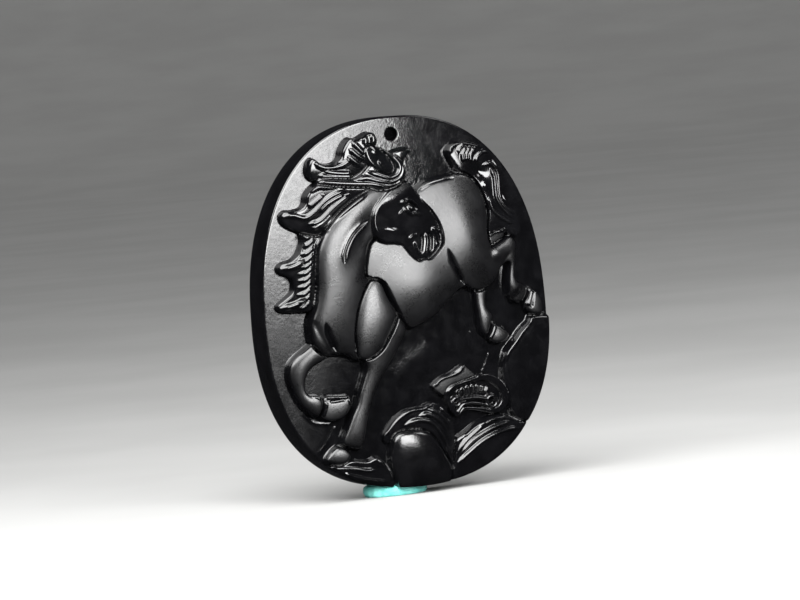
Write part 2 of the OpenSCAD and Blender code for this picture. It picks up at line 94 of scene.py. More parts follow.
plate_low, plate_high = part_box("plate")
FACE_Y = plate_low.y / MM
BACK_Y = plate_high.y / MM
CENTRE_Z = (plate_low.z + plate_high.z) / 2 / MM
HALF_W = 21.29
HALF_H = (plate_high.z - plate_low.z) / 2 / MM
OVAL_POWER = 2.33
FOOT_FLARE = 0.034
hole = next(m for m in frame["record"]["mounts"] if m["name"] == "hanging_hole")
HOLE_R = hole["dims"]["r_mm"]
HOLE_Z = hole["pos_m"][2] / MM - CENTRE_Z


def oval_point(angle, inset):
    """Points of the plate's oval, drawn inwards by inset."""
    c, s = np.cos(angle), np.sin(angle)
    x = (HALF_W - inset) * np.sign(c) * np.abs(c) ** (2 / OVAL_POWER)
    z = (HALF_H - inset) * np.sign(s) * np.abs(s) ** (2 / OVAL_POWER)
    return x * (1 - FOOT_FLARE * z / HALF_H), z


def oval_angle(x, z):
    """The angle at which oval_point passes in the direction of x, z."""
    x = x / (1 - FOOT_FLARE * z / HALF_H)
    c = np.sign(x) * np.abs(x / HALF_W) ** (OVAL_POWER / 2)
    s = np.sign(z) * np.abs(z / HALF_H) ** (OVAL_POWER / 2)
    return np.arctan2(s, c)


def oval_inside():
    """Distance in from the plate's edge on the grid."""
    u = np.abs(X / (1 - FOOT_FLARE * Z / HALF_H)) / HALF_W
    v = np.abs(Z) / HALF_H
    level = (u ** OVAL_POWER + v ** OVAL_POWER) ** (1 / OVAL_POWER)
    slope_z, slope_x = np.gradient(level, STEP)
    return (1 - level) / np.maximum(np.hypot(slope_x, slope_z), 1e-3)


# ---- The grid ----

STEP = 0.08
GRID_X = 22.4
GRID_Z = 26
xs = np.arange(-GRID_X, GRID_X + STEP / 2, STEP)
zs = np.arange(-GRID_Z, GRID_Z + STEP / 2, STEP)
X, Z = np.meshgrid(xs, zs)
FAR = 1e3


def spline(p, closed, steps=8):
    """A smooth curve through the points p."""
    p = np.array(p, float)
    n = len(p)
    t = np.arange(steps)[:, None] / steps
    pieces = []
    for i in range(n if closed else n - 1):
        if closed:
            a, b, c, d = (p[(i + k) % n] for k in (-1, 0, 1, 2))
        else:
            a, b, c, d = (p[min(max(i + k, 0), n - 1)] for k in (-1, 0, 1, 2))
        pieces.append(0.5 * (2 * b + (c - a) * t + (2 * a - 5 * b + 4 * c - d) * t ** 2
                             + (3 * b - a - 3 * c + d) * t ** 3))
    if not closed:
        pieces.append(p[-1:])
    return np.concatenate(pieces)


def window(points, margin):
    """The part of the grid round some points."""
    low = points.min(0) - margin
    high = points.max(0) + margin
    i0, i1 = np.searchsorted(zs, (low[1], high[1]))
    j0, j1 = np.searchsorted(xs, (low[0], high[0]))
    return slice(max(i0 - 1, 0), i1 + 1), slice(max(j0 - 1, 0), j1 + 1)


def to_segment(x, z, a, b):
    """Squared distance to the stretch from a to b, and how far along it."""
    d = b - a
    t = ((x - a[0]) * d[0] + (z - a[1]) * d[1]) / max(d @ d, 1e-12)
    t = np.clip(t, 0, 1)
    return (x - a[0] - t * d[0]) ** 2 + (z - a[1] - t * d[1]) ** 2, t


def inside_distance(points, margin=3.0):
    """Distance to a closed smooth outline on the whole grid, positive inside."""
    curve = spline(points, True)
    w = window(curve, margin)
    x, z = X[w], Z[w]
    best = np.full(x.shape, FAR)
    inside = np.zeros(x.shape, bool)
    for a, b in zip(curve, np.roll(curve, -1, 0)):
        best = np.minimum(best, to_segment(x, z, a, b)[0])
        if a[1] != b[1]:
            crossing = a[0] + (z - a[1]) / (b[1] - a[1]) * (b[0] - a[0])
            inside ^= ((a[1] > z) != (b[1] > z)) & (x < crossing)
    result = np.full(X.shape, -FAR)
    result[w] = np.where(inside, 1, -1) * np.sqrt(best)
    return result


def line_distance(points, margin):
    """Window round a smooth open line, the distance to it and the place along it, 0 to 1."""
    curve = spline(points, False)
    w = window(curve, margin)
    x, z = X[w], Z[w]
    best = np.full(x.shape, FAR)
    along = np.zeros(x.shape)
    for i, (a, b) in enumerate(zip(curve[:-1], curve[1:])):
        d, t = to_segment(x, z, a, b)
        nearer = d < best
        best = np.where(nearer, d, best)
        along = np.where(nearer, (i + t) / (len(curve) - 1), along)
    return w, np.sqrt(best), along


def ramp(value, start, end):
    """Smooth step from 0 at start to 1 at end."""
    t = np.clip((value - start) / (end - start), 0, 1)
    return t * t * (3 - 2 * t)


def blur(field, radius_mm):
    """Even out a field over about radius_mm."""
    reach = max(int(round(2 * radius_mm / STEP)), 1)
    k = np.arange(-reach, reach + 1)
    weight = np.exp(-0.5 * (k * STEP / radius_mm) ** 2)
    weight /= weight.sum()
    for axis in (0, 1):
        field = sum(w * np.roll(field, s, axis) for w, s in zip(weight, k))
    return field


def swell(inside):
    """How far a form could swell: the height of a film blown up inside its outline."""
    rows = np.any(inside > 0, 1)
    cols = np.any(inside > 0, 0)
    i0, i1 = np.flatnonzero(rows)[[0, -1]] + (-2, 3)
    j0, j1 = np.flatnonzero(cols)[[0, -1]] + (-2, 3)
    part = inside[max(i0, 0):i1, max(j0, 0):j1]
    film = None
    for stride, passes in ((8, 200), (4, 80), (2, 50), (1, 40)):
        shape = part[::stride, ::stride]
        mask = (shape > 0).astype(float)
        if film is None:
            film = np.zeros(mask.shape)
        else:
            film = film.repeat(2, 0).repeat(2, 1)[:mask.shape[0], :mask.shape[1]]
            film = film * mask
        push = (stride * STEP) ** 2
        for _ in range(passes):
            padded = np.pad(film, 1)
            around = (padded[:-2, 1:-1] + padded[2:, 1:-1]
                      + padded[1:-1, :-2] + padded[1:-1, 2:])
            film = mask * (around + push) / 4
    result = np.zeros(inside.shape)
    result[max(i0, 0):i1, max(j0, 0):j1] = np.sqrt(2 * film)
    return result


# ---- Painting forms on the height field ----

# The ground is slightly domed. Its finish is nearly satin at the upper left and smoother
# towards the lower right.
DOME_RISE = 0.5
dome = DOME_RISE * (0.6 - (X / HALF_W) ** 2 - (Z / HALF_H) ** 2)
height = dome.copy()
polish = 0.15 + 0.5 * ramp(X - 0.35 * Z, -13, -5)

# The place of each piece: above 0 where the piece is seen.
region = {}


def form(name, outline, level, crown=0.0, roll=0.35, draft=0.3, shine=0.0, also=(),
         lean=(0, 0)):
    """A form in front of all that is painted so far.

    level is the height of its walls and crown how much it swells above them; roll is the
    radius of its top edge and draft how far the walls lean. also is a list of outlines
    that the silhouette takes in as well, and lean is its climb to the right and upwards.
    Gives the distance inside the outline.
    """
    inside = inside_distance(outline)
    for other in also:
        inside = np.maximum(inside, inside_distance(other))
    middle = np.mean(outline, 0)
    top = dome + level + lean[0] * (X - middle[0]) + lean[1] * (Z - middle[1])
    if crown:
        full = swell(inside)
        top = top + crown * full / full.max()
    edge = np.clip(1 - inside / roll, 0, 1)
    top = top - roll * (1 - np.sqrt(1 - edge ** 2))
    weight = ramp(inside, -draft, 0)
    cover(weight, top, shine)
    claim(name, inside + draft)
    return inside


def cover(weight, top, shine):
    """Put a new surface over what is painted so far, as far as weight goes."""
    height[:] = height * (1 - weight) + top * weight
    polish[:] = polish * (1 - weight) + shine * weight


def claim(name, field):
    """Give the place where field is above 0 to a piece, and take it from the others."""
    for other in region:
        region[other] = np.minimum(region[other], -field)
    region[name] = field


def tapered(along, ends):
    """1 along a line, falling to 0 over its ends."""
    return ramp(along, -0.02, ends) * ramp(-along, -1.02, -1 + ends)


def line_profile(distance, along, width, ends):
    """1 on a line, falling to 0 at its sides and its ends."""
    taper = tapered(along, ends)
    reach = width * (0.35 + 0.65 * taper)
    return taper * np.exp(-((distance / (0.5 * reach)) ** 2))


def ridge(points, rise, width, inside=None, shine=None, ends=0.15):
    """A raised line, or a groove where rise is negative, kept inside a form if one is given."""
    w, distance, along = line_distance(points, 2.2 * width)
    amount = line_profile(distance, along, width, ends)
    if inside is not None:
        amount = amount * ramp(inside[w], 0.0, 0.25)
    height[w] += rise * amount
    if shine is not None:
        polish[w] += (shine - polish[w]) * np.clip(1.5 * amount, 0, 1)


def locks(lines, rise, half, inside, ends=0.12, shine=None):
    """Rounded rods that lie side by side along the lines, sharp grooves between."""
    rods = np.zeros(X.shape)
    for line in lines:
        w, distance, along = line_distance(line, 1.5 * half)
        taper = tapered(along, ends)
        reach = half * (0.4 + 0.6 * taper)
        rod = (0.3 + 0.7 * taper) * np.clip(1 - (distance / reach) ** 2, 0, 1)
        rods[w] = np.maximum(rods[w], rod)
    rods *= ramp(inside, 0.0, 0.3)
    height[:] += rise * rods
    if shine is not None:
        polish[:] += (shine - polish) * np.clip(1.5 * rods, 0, 1)


def hump(x, z, rise, half_x, half_z, turn=0.0, shine=None, inside=None):
    """A soft round bump, or a dent where rise is negative; with rise 0, a change of finish."""
    c, s = math.cos(math.radians(turn)), math.sin(math.radians(turn))
    u = ((X - x) * c + (Z - z) * s) / half_x
    v = ((Z - z) * c - (X - x) * s) / half_z
    amount = np.exp(-(u * u + v * v))
    if inside is not None:
        amount = amount * ramp(inside, 0.0, 0.3)
    height[:] += rise * amount
    if shine is not None:
        polish[:] += (shine - polish) * np.clip(amount, 0, 1)


# ---- Ground ----

ridge([(-3.2, -10.6), (0, -8.6), (3.6, -6.6)], 0.12, 3.0)
ground_lines = [
    [(-15.2, -19.6), (-13.6, -18), (-12, -15.7)],
    [(-17.2, -13.3), (-15.6, -15), (-13.7, -15.5), (-12.4, -15.4)],
    [(8.9, -5), (10.2, -6.4), (11.2, -7.4)],
    [(11.8, -8.3), (11.2, -9.8), (10.3, -11.2)]]
for line in ground_lines:
    ridge(line, 0.07, 0.4, None, 0.8)
ground = height.copy()
ground_polish = polish.copy()

# ---- Rocks ----

cliff = form("cliff", [
    (21, -4.1), (18.5, -4), (17.9, -4.7), (17.1, -5.3), (16.3, -6), (15.5, -6.9), (14.7, -7.7),
    (14, -8.5), (13.5, -9.7), (13.2, -11), (13.3, -12.4), (13.6, -14), (14, -15.6),
    (14.2, -16.8), (15.3, -18.1), (18, -19.5), (22, -17), (24.5, -10), (23.5, -5)],
    0.9, 0.4, 0.4, 0.4, 0.85)
ridge([(18.6, -4.2), (17.4, -5.3), (16.4, -6.2), (15.6, -7.1), (14.8, -7.9), (14.1, -8.7),
       (13.7, -9.9)], 0.3, 0.5, cliff, 1)
ledge_tops = [
    [(14.1, -5.1), (15, -4.6), (16.2, -4.0)],
    [(13.9, -7.3), (14.5, -6.7), (15.3, -6.0)]]
for line in ledge_tops:
    ridge(line, 0.6, 0.55, None, 1, 0.1)

rock_folds = form("rock_folds", [
    (5.3, -19.8), (6.7, -19), (8.4, -18), (10.1, -17.4), (11.8, -17.1), (13.3, -17.4),
    (14.9, -18.2), (17.5, -19.4), (14, -24), (9, -27), (5, -27), (4, -24.8), (4.4, -23.2),
    (4.9, -21.5)],
    0.9, 0.3, 0.3, 0.3, 0.85)
rock_lines = [
    [(5.2, -21.7), (6.5, -20.2), (8.2, -19), (9.8, -18), (11.5, -17.5), (13.1, -17.5),
     (14.8, -18.1)],
    [(5.7, -21.8), (7.4, -20.3), (9.4, -19.3), (11.4, -18.6), (13.6, -18.2)],
    [(5.1, -23.1), (6.6, -22), (9, -20.5), (11.3, -19.6), (13.5, -19.2), (14.8, -19.3)]]
locks(rock_lines, 0.3, 0.34, rock_folds, 0.12, 0.5)
ridge([(6.5, -19.5), (8.2, -18.4), (9.8, -17.7)], 0.25, 0.35, rock_folds, 1)

rock_ledge = form("rock_ledge", [
    (-13.6, -21.4), (-12.2, -21.3), (-10.6, -20.9), (-9.2, -21.1), (-8, -21.2), (-6.9, -20.9),
    (-6.1, -21.4), (-5.4, -22.2), (-4.8, -23.3), (-4.2, -24.4), (-6, -27), (-9, -26),
    (-12, -25), (-15.6, -22.6)],
    0.8, 0.0, 0.25, 0.3, 0.8)
ridge([(-13.4, -21.7), (-11.2, -21.9), (-9, -22.4), (-7, -22.6)], 0.18, 0.5, rock_ledge, 1)
ridge([(-12, -22.4), (-9.9, -23.3), (-7.8, -23.9), (-5.3, -24.4)], 0.15, 0.5, rock_ledge, 1)
ridge([(-6.6, -21.2), (-5.8, -22.1), (-5.1, -23.3), (-4.6, -24.2)], 0.15, 0.4, rock_ledge, 1)

boulder_folds = form("boulder_folds", [
    (-5.5, -18.1), (-4.7, -16.9), (-3.6, -15.8), (-2.3, -15), (-0.9, -14.7), (0.6, -14.6),
    (2, -14.2), (3.4, -14.8), (4.5, -16.2), (5.1, -17.6), (5.2, -19.5), (4.9, -21.5),
    (4.6, -23.4), (3.6, -23.2), (2, -20), (-1, -18.6), (-4, -19), (-5.2, -19)],
    0.7, 0.3, 0.15, 0.12, 0.7)
fold_lines = [
    [(-2.2, -16.9), (-1, -16.5), (0.3, -16.5), (1.8, -17.1), (2.9, -18.4), (3.7, -19.9),
     (4.1, -21.7), (4.4, -23.4)],
    [(0, -15.9), (1.3, -15.8), (2.8, -16.7), (3.9, -18.2), (4.4, -20.3), (4.5, -22.6)],
    [(1.4, -15.1), (2.8, -15.8), (4.2, -17.4), (4.8, -19.5), (4.8, -21.5)],
    [(3.4, -15.1), (4.5, -16.5), (5.1, -18.4)]]
locks(fold_lines, 0.28, 0.36, boulder_folds, 0.12, 0.35)
ridge([(-5.3, -18.1), (-4.3, -16.9), (-3, -15.8), (-1.3, -15), (0.6, -14.9), (2.1, -14.5)],
      0.2, 0.4, boulder_folds, 0.5)

form("boulder", [
    (-4.7, -19.8), (-4.4, -18.7), (-3.7, -17.9), (-2.4, -17.6), (-0.8, -17.6), (0.5, -17.9),
    (1.6, -18.6), (2.4, -19.7), (3.1, -21), (3.8, -22.3), (4.2, -23.4), (3.6, -26.4),
    (0, -28), (-3, -27), (-4.2, -24.6), (-4.8, -22.6), (-4.9, -21)],
    1.0, 1.3, 0.5, 0.3, 0.45)

# ---- Fungus ----

petal = form("lingzhi_petal", [
    (2.4, -12.1), (3.1, -11.4), (4, -10.9), (5.2, -10.6), (6.2, -10.1), (7.3, -9.6),
    (8, -10.1), (8.8, -10.9), (9.5, -11.5), (8.3, -11.8), (6.6, -12), (5.4, -12.3),
    (4.6, -12.8), (4.1, -13.5), (3.3, -13.1)],
    0.8, 0.1, 0.15, 0.15, 0, lean=(0.05, -0.05))
ridge([(2.7, -12.2), (3.4, -11.3), (4.6, -10.9), (6.1, -10.6), (7.4, -9.8)], 0.2, 0.4, petal, 0.5)

cap = form("lingzhi_cap", [
    (4.1, -13.4), (4.8, -12.4), (6.3, -11.9), (8, -11.5), (9.5, -11.2), (11, -11.3),
    (12.4, -12), (13.4, -13.1), (13.9, -14.5), (13.6, -15.8), (12.6, -16.6), (11, -16.7),
    (9.7, -16.3), (8, -15.9), (6.8, -15.9), (5.8, -16.5), (5, -16), (4.5, -14.8)],
    0.9, 0, 0.15, 0.15, 0.8)
ridge([(4.4, -13.5), (5.1, -12.5), (6.7, -11.9), (8, -11.8), (9.6, -11.5)], 0.2, 0.4, cap, 0.5)
cap_floor = inside_distance([
    (4.8, -13.6), (5.6, -12.8), (7, -12.3), (8.6, -12), (10, -11.9), (11.3, -12.3),
    (12.3, -13.1), (12.9, -14.2), (12.7, -15.3), (12, -16), (10.9, -16.2), (9.6, -15.9),
    (8, -15.6), (6.6, -15.5), (5.6, -15.7), (5, -14.8)])
height -= 0.5 * ramp(cap_floor, 0, 0.3)
RIB_COUNT = 7
for i in range(RIB_COUNT):
    side = i - (RIB_COUNT - 1) / 2
    foot_x = 8.6 + 0.62 * side
    head_x = 8.6 + 0.78 * side
    ridge([(foot_x, -13.8), (head_x, -12.5 - 0.06 * side ** 2)], 0.3, 0.46, None, 0.1, 0.2)

SCROLL_HALF = 0.26
CURL_HALF = 0.27
SCROLL_LEVEL = 0.85
SCROLL_ROD = 0.2
scroll_bars = [
    [(6.4, -14.35), (7.4, -14.3), (8.6, -14.3), (9.6, -14.5), (10.4, -14.7)],
    [(5.9, -16), (6.4, -15.4), (7, -15), (8.4, -15), (9.6, -15.3), (10.4, -15.6)]]
scroll_curls = [(5.8, -14.6, 0.55), (11.2, -15.1, 0.75)]


def scroll_distance():
    """Distance to the outline of the scroll's bars and curls, positive inside them."""
    best = np.full(X.shape, -FAR)
    for bar in scroll_bars:
        w, distance, _ = line_distance(bar, 1.5)
        best[w] = np.maximum(best[w], SCROLL_HALF - distance)
    for x, z, r in scroll_curls:
        ring = np.abs(np.hypot(X - x, Z - z) - r)
        best = np.maximum(best, CURL_HALF - ring)
    return best


scroll = scroll_distance()
rod = SCROLL_ROD * (1 - (1 - np.clip(scroll / SCROLL_HALF, 0, 1)) ** 2)
cover(ramp(scroll, -0.12, 0.1), SCROLL_LEVEL + rod, 0.4)
claim("lingzhi_scroll", scroll + 0.12)

# ---- Far hind leg ----

form("hind_leg_far", [
    (9.9, 2), (9.9, -1.5), (10, -3.5), (10.2, -4.8), (10.6, -5.6), (11.2, -5.9), (11.8, -4.6),
    (12.3, -3.3), (12, -2.6), (11.6, -1.9), (11.6, -0.8), (12, 1.2), (11, 2.2)],
    0.9, 0.5, 0.5, 0.25, 0, lean=(0.1, -0.08))
hoof = form("hind_hoof_far", [
    (12.2, -4.4), (13.1, -4.6), (14.1, -5.3), (14.6, -6), (14.1, -6.8), (13.1, -7.2),
    (11.9, -6.9), (11.2, -6.2), (11.7, -5.4)],
    0.9, 0.4, 0.4, 0.25, 0, lean=(0.08, -0.1))
ridge([(12.6, -4.6), (12.1, -5.5), (11.5, -6.5)], 0.2, 0.4, hoof, 0.8)

# ---- Tail ----

tail = form("tail", [
    (9.3, 16.8), (8.8, 17.4), (8.3, 18.3), (7.8, 19.3), (7.7, 20.1), (8.2, 20.8), (9.1, 21.2),
    (10.2, 21.2), (11.4, 20.9), (12.6, 20.5), (13.7, 19.8), (14.5, 18.9), (15.1, 17.7),
    (15.4, 16.2), (15.4, 14.6), (15.7, 13.2), (16.4, 12), (17.4, 10.8), (18, 9.6), (18, 8.4),
    (17.4, 7.4), (16.6, 7.2), (15.6, 7.9), (14.9, 8.6), (13.6, 8.4), (12.2, 8), (12, 10.5),
    (11.8, 12.4), (11.4, 14.3), (10.6, 15.8), (10, 16.6)],
    1.2, 0.3, 0.4, 0.2, 0.95)
ridge([(7.9, 19.6), (8.1, 20.5), (8.9, 21), (10, 21), (11.4, 20.7), (13, 20.1)],
      0.2, 0.5, tail, 0.6, 0.1)
root_lines = [
    [(9.2, 19.7), (9.5, 20.3), (10.2, 20.6)],
    [(9.8, 18.4), (9.8, 19.4), (10.5, 20.4)],
    [(10.3, 18.4), (10.4, 19.4), (11.1, 20.3)],
    [(10.9, 18.2), (11, 19.3), (11.8, 20.1)],
    [(11.6, 18), (12, 18.9), (13, 19.5), (14, 19.3)]]
locks(root_lines, 0.25, 0.34, tail, 0.2, 0.5)
tail_lines = [
    [(12.8, 17.6), (13.9, 17.8), (14.7, 17), (15, 15.8), (14.9, 14.3), (15, 12.8),
     (15.8, 11.4), (17.3, 10.4)],
    [(14.4, 18.1), (15.2, 16.9), (15.6, 15.5), (15.6, 14), (15.9, 12.6), (16.9, 11.5)],
    [(13.9, 17), (14.3, 15.8), (14.3, 14.2), (14.4, 12.9), (15.2, 11.4), (16.7, 9.9)],
    [(13.2, 13), (13.6, 11.4), (14.8, 10.2), (16.4, 9.2)]]
locks(tail_lines, 0.25, 0.34, tail, 0.12, 0.3)
hump(12.8, 14.8, 0.16, 0.4, 0.5, 0, 1, tail)
hump(12, 16.9, -0.4, 1.3, 0.8, -30, 1, tail)

# ---- Trunk ----

barrel_outline = [
    (2.3, 15.2), (3.3, 15.8), (4.6, 16.3), (6.2, 16.6), (7.6, 16.8), (8.8, 16.8), (9.6, 14),
    (9, 8), (9, 3), (8.5, 1.3), (7.2, 0.7), (6, -0.2), (4.5, -1.5), (3, -2.6), (1.3, -3.3),
    (-0.2, -3.7), (-1.1, -3.4), (-2.4, -3), (-5, -2), (-7, 2), (-7.2, 6.2), (-6.3, 9),
    (-4, 12), (-1, 14), (1, 14.6)]
haunch_outline = [
    (5.6, 6.8), (6.2, 5), (6.9, 3.4), (7.8, 1.9), (9, 0.8), (10.4, 0.4), (11.8, 0.7),
    (13, 1.4), (13.7, 2.6), (13.6, 4.5), (12.9, 6.2), (12.5, 8.3), (12.8, 10.5), (12.7, 12.3),
    (12.1, 14.2), (11.3, 15.7), (10.2, 16.6), (8.9, 16.9), (7.4, 16.4), (6.2, 15),
    (5.4, 12.5), (5.2, 9.5)]
hind_leg_outline = [
    (12.6, 6.2), (13.6, 6.6), (14.8, 7.1), (15.8, 7.5), (16.5, 7.3), (16.9, 6.6), (16.9, 5.6),
    (16.6, 4.4), (16.4, 3.2), (16.2, 2), (16.5, 1.2), (17.2, 0.9), (17.8, 0.3), (18, -0.4),
    (17.7, -1.2), (17, -1.8), (16.1, -1.9), (15.3, -1.3), (14.9, -0.3), (14.9, 1),
    (15.1, 2.4), (15.3, 3.7), (14.7, 3.6), (14, 2.9), (13.2, 1.6), (12.2, 1.6), (10.4, 3),
    (10.6, 5.4)]
form("haunch_fold", [
    (12.3, 7.5), (13, 8), (14.2, 8.4), (15.1, 8.4), (15.3, 7.9), (14.6, 7), (13.4, 6.4),
    (12.3, 6.5)],
    1.1, 0.1, 0.25, 0.2, 0.1)
ridge([(12.6, 7.9), (13.9, 8.4), (15.5, 8.4)], 0.3, 0.45, None, 1)
trunk = form("hind_leg_near", hind_leg_outline, 1.03, 0.9, 0.45, 0.3, 0,
             also=(barrel_outline, haunch_outline))
claim("barrel", np.minimum(inside_distance(barrel_outline) + 0.3, trunk + 0.3))
claim("haunch", np.minimum(inside_distance(haunch_outline) + 0.3, trunk + 0.3))
hump(2.2, 1.2, 0.8, 6, 5, 35, None, trunk)
hump(10, 7.2, 0.8, 3.6, 6.5, 12, None, trunk)
ridge([(12.6, 4.6), (14.4, 5.6), (15.9, 5.4), (16, 3), (15.9, 0.8), (16.8, -0.4)], 0.5, 2.6, trunk)
ridge([(5.8, 6.8), (6.3, 5.1), (6.9, 3.6), (7.6, 2.2), (8.2, 1.4)], -0.4, 0.7, trunk, None, 0.3)
ridge([(5.9, 6.7), (6.4, 5), (7, 3.5), (7.6, 2.2), (8.2, 1.4)], -0.35, 0.3, trunk, 1, 0.25)
ridge([(2.4, 14.9), (4.4, 15.8), (6.6, 16.2), (8.2, 16.3)], -0.12, 0.3, trunk, 1)

near_hoof = form("hind_hoof_near", [
    (18.3, 0), (19.1, -0.2), (19.8, -1), (20.2, -2), (20.2, -3), (19.9, -3.7), (18.8, -3.8),
    (17.9, -3.3), (17.3, -2.3), (17.7, -1.3), (18.1, -0.6)],
    1.0, 0.4, 0.4, 0.25, 0, lean=(0.08, -0.1))
ridge([(18.7, -0.4), (18.3, -1.3), (17.8, -2.5)], 0.25, 0.45, near_hoof, 0.9)
ridge([(19.1, -0.6), (18.7, -1.5), (18.3, -2.8)], -0.2, 0.3, near_hoof, 0.9)

# ---- Raised foreleg ----

form("foreleg_raised", [
    (-15, -4.2), (-16.1, -4.9), (-17.4, -5.7), (-18.4, -6.6), (-18.8, -7.7), (-18.8, -9),
    (-18.4, -10.3), (-17.8, -11.8), (-17, -13), (-16.1, -13.9), (-15.2, -14.3),
    (-14.7, -13.9), (-14.3, -12.9), (-14.4, -11.8), (-15, -11.3), (-16, -11.2),
    (-16.5, -10.5), (-16.5, -9.5), (-16.1, -8.4), (-15.3, -7.5), (-14.2, -6.9),
    (-12.9, -6.3), (-12.4, -5), (-13.8, -3.8)],
    1.1, 0.7, 0.45, 0.25, 0, lean=(0.08, -0.04))
raised_hoof = form("hoof_raised", [
    (-13.9, -11.7), (-12.9, -11.6), (-11.6, -11.8), (-10.5, -11.8), (-10.1, -12.4),
    (-10.3, -13.5), (-11.1, -14.6), (-12.5, -15.1), (-14, -14.9), (-14.8, -14.3),
    (-14.4, -13.3), (-14.2, -12.4)],
    1.1, 0.4, 0.35, 0.25, 0, lean=(0.06, -0.1))
ridge([(-13.3, -12.4), (-12.2, -12.4), (-10.9, -12.3)], -0.15, 0.35, raised_hoof, 0.9)
ridge([(-13.7, -11.8), (-12.2, -11.8), (-10.4, -12)], 0.25, 0.4, None, 1)
ridge([(-13.7, -12.4), (-14, -13.3), (-14.4, -14.3)], 0.2, 0.35, None, 0.9)
ridge([(-10.5, -12.3), (-10.4, -13.1)], 0.2, 0.35, None, 1)
ridge([(-16, -11.3), (-15.2, -11.5), (-14.6, -11.9)], 0.2, 0.35, None, 1)

# ---- Neck and chest ----

neck = form("neck_chest", [
    (-4.4, 16.3), (-7, 15), (-9.6, 13.1), (-11.9, 10.9), (-13.2, 8.6), (-13.7, 6), (-13.9, 3),
    (-14.6, 0.4), (-15.2, -1.2), (-15.3, -3), (-14.9, -4.8), (-13.4, -6.1), (-11.6, -6.1),
    (-10, -6.5), (-8.8, -7.2), (-7.4, -6.5), (-7, -3), (-6.6, 0), (-5.8, 2.4), (-5.7, 3.6),
    (-6.5, 4.2), (-6.2, 6.2), (-5.4, 8.4), (-4, 9.5), (-2, 11), (-0.5, 14), (0.6, 16),
    (-1.5, 16.8)],
    1.27, 1.3, 0.5, 0.35, 0, lean=(-0.06, 0.02))
hump(-6.5, 9.5, -0.5, 1.6, 4, -35, None, neck)
NECK_CREASE = [(-5.6, 11.7), (-6.8, 11), (-8.1, 10), (-9.1, 8.7), (-9.7, 7.4), (-9.9, 6.2)]
ridge(NECK_CREASE, 0.3, 0.9, neck, 0.9, 0.2)
ridge(NECK_CREASE, -0.55, 0.4, neck, 1, 0.2)
ridge([(-13.4, -1.5), (-13, -3.2), (-12.4, -4.6), (-11.7, -5.9)], -0.6, 0.7, neck, 0.9, 0.3)
ridge([(-15, -1), (-14.2, -3), (-13.4, -4.6), (-12.8, -5.9)], -0.15, 0.8, neck)
ridge([(-5.5, 8.4), (-5.9, 6.8), (-6.4, 5), (-6.6, 3.9)], 0.15, 0.3, None, 1)

# ---- Standing foreleg and shoulder ----

form("foreleg_standing", [
    (-4.2, 3), (-3.4, 1.2), (-2.5, -0.8), (-1.7, -2.6), (-1.2, -3.8), (-2.2, -5.5),
    (-3.3, -7.2), (-4.3, -8.5), (-5.5, -10.2), (-6.5, -11.8), (-7.3, -13.7), (-7.9, -15.5),
    (-8.3, -17), (-8.6, -18.4), (-9, -19.2), (-9.9, -19.3), (-10.9, -19), (-11.7, -18.5),
    (-11.7, -17.7), (-11, -16.3), (-10.2, -14.7), (-9.3, -13.1), (-8.8, -11.5),
    (-8.1, -9.8), (-7.6, -8.4), (-7.6, -6.6), (-7, -3), (-5.6, 1.6)],
    1.3, 0.9, 0.5, 0.35, 0, lean=(0.06, -0.02))
form("hoof_standing", [
    (-12.5, -18.7), (-11.7, -18.9), (-11, -19.4), (-10.6, -20.1), (-11, -20.8),
    (-11.9, -21.2), (-13.3, -21.1), (-14.3, -20.5), (-13.9, -19.7), (-13.1, -19)],
    0.9, 0.4, 0.5, 0.25, 0, lean=(0.08, -0.1))

form("shoulder", [
    (-6, 3.3), (-7.1, 2), (-8, 0.3), (-8.6, -1.6), (-8.9, -3.6), (-8.8, -5.5), (-8.5, -6.9),
    (-7.4, -7.2), (-6.2, -6.8), (-5, -5.8), (-3.9, -4.3), (-3, -2.9), (-2.4, -1.6),
    (-2.8, -0.5), (-3.5, 1.2), (-4.2, 3), (-5.1, 3.6)],
    1.4, 0.9, 0.4, 0.3, 0, lean=(0.02, -0.05))
ridge([(-4.1, 3.2), (-3.3, 1.1), (-2.5, -1), (-1.2, -3.3)], -0.4, 0.45, None, 0.9, 0.3)
ridge([(-2.5, -1.8), (-3, -3), (-3.8, -4.3), (-5, -5.7), (-6, -6.7), (-6.8, -7.1)], 0.2, 0.35,
      None, 1, 0.2)

# ---- Mane ----

lower = form("mane_lower", [
    (-15.1, 10.9), (-15.1, 9.8), (-15.5, 8.8), (-16.1, 7.9), (-17, 7.3), (-18.3, 7),
    (-18.9, 6.4), (-18.6, 5.7), (-17.6, 5.2), (-17, 4.6), (-17, 3.6), (-17.4, 2.8),
    (-18.4, 2.1), (-19.4, 1.4), (-19.3, 0.7), (-18.3, 0.3), (-16.6, 0.2), (-15.2, 0.1),
    (-14.6, 0.5), (-14.2, 1.8), (-13.9, 4), (-13.7, 6.5), (-13.3, 8.7), (-12.4, 10.4),
    (-13.8, 11)],
    1.3, 0.1, 0.3, 0.2, 0.95, lean=(0.05, 0.05))
LOWER_STRANDS = (10.8, 9.8, 8.7, 7.7, 6.9, 6, 5.1, 4.2, 3.2, 2.3, 1.4)
for z in LOWER_STRANDS:
    x = -13.6 - 0.14 * (10.8 - z)
    locks([[(x - 1.9, z - 0.6), (x - 1.1, z - 0.6), (x - 0.4, z - 0.2), (x, z + 0.4)]],
          0.25, 0.36, lower, 0.3)
locks([[(-18.6, 6.3), (-17.4, 6.4), (-16.3, 6.7), (-15.5, 7.2)],
       [(-19.1, 1), (-17.8, 1.1), (-16.6, 1.4), (-15.6, 1.9)]], 0.4, 0.5, lower, 0.25)
ridge([(-12.7, 10.2), (-13.5, 8.4), (-13.8, 6), (-13.9, 3.6), (-14.2, 1.6), (-14.8, 0.3)],
      0.25, 0.4, None, 1)

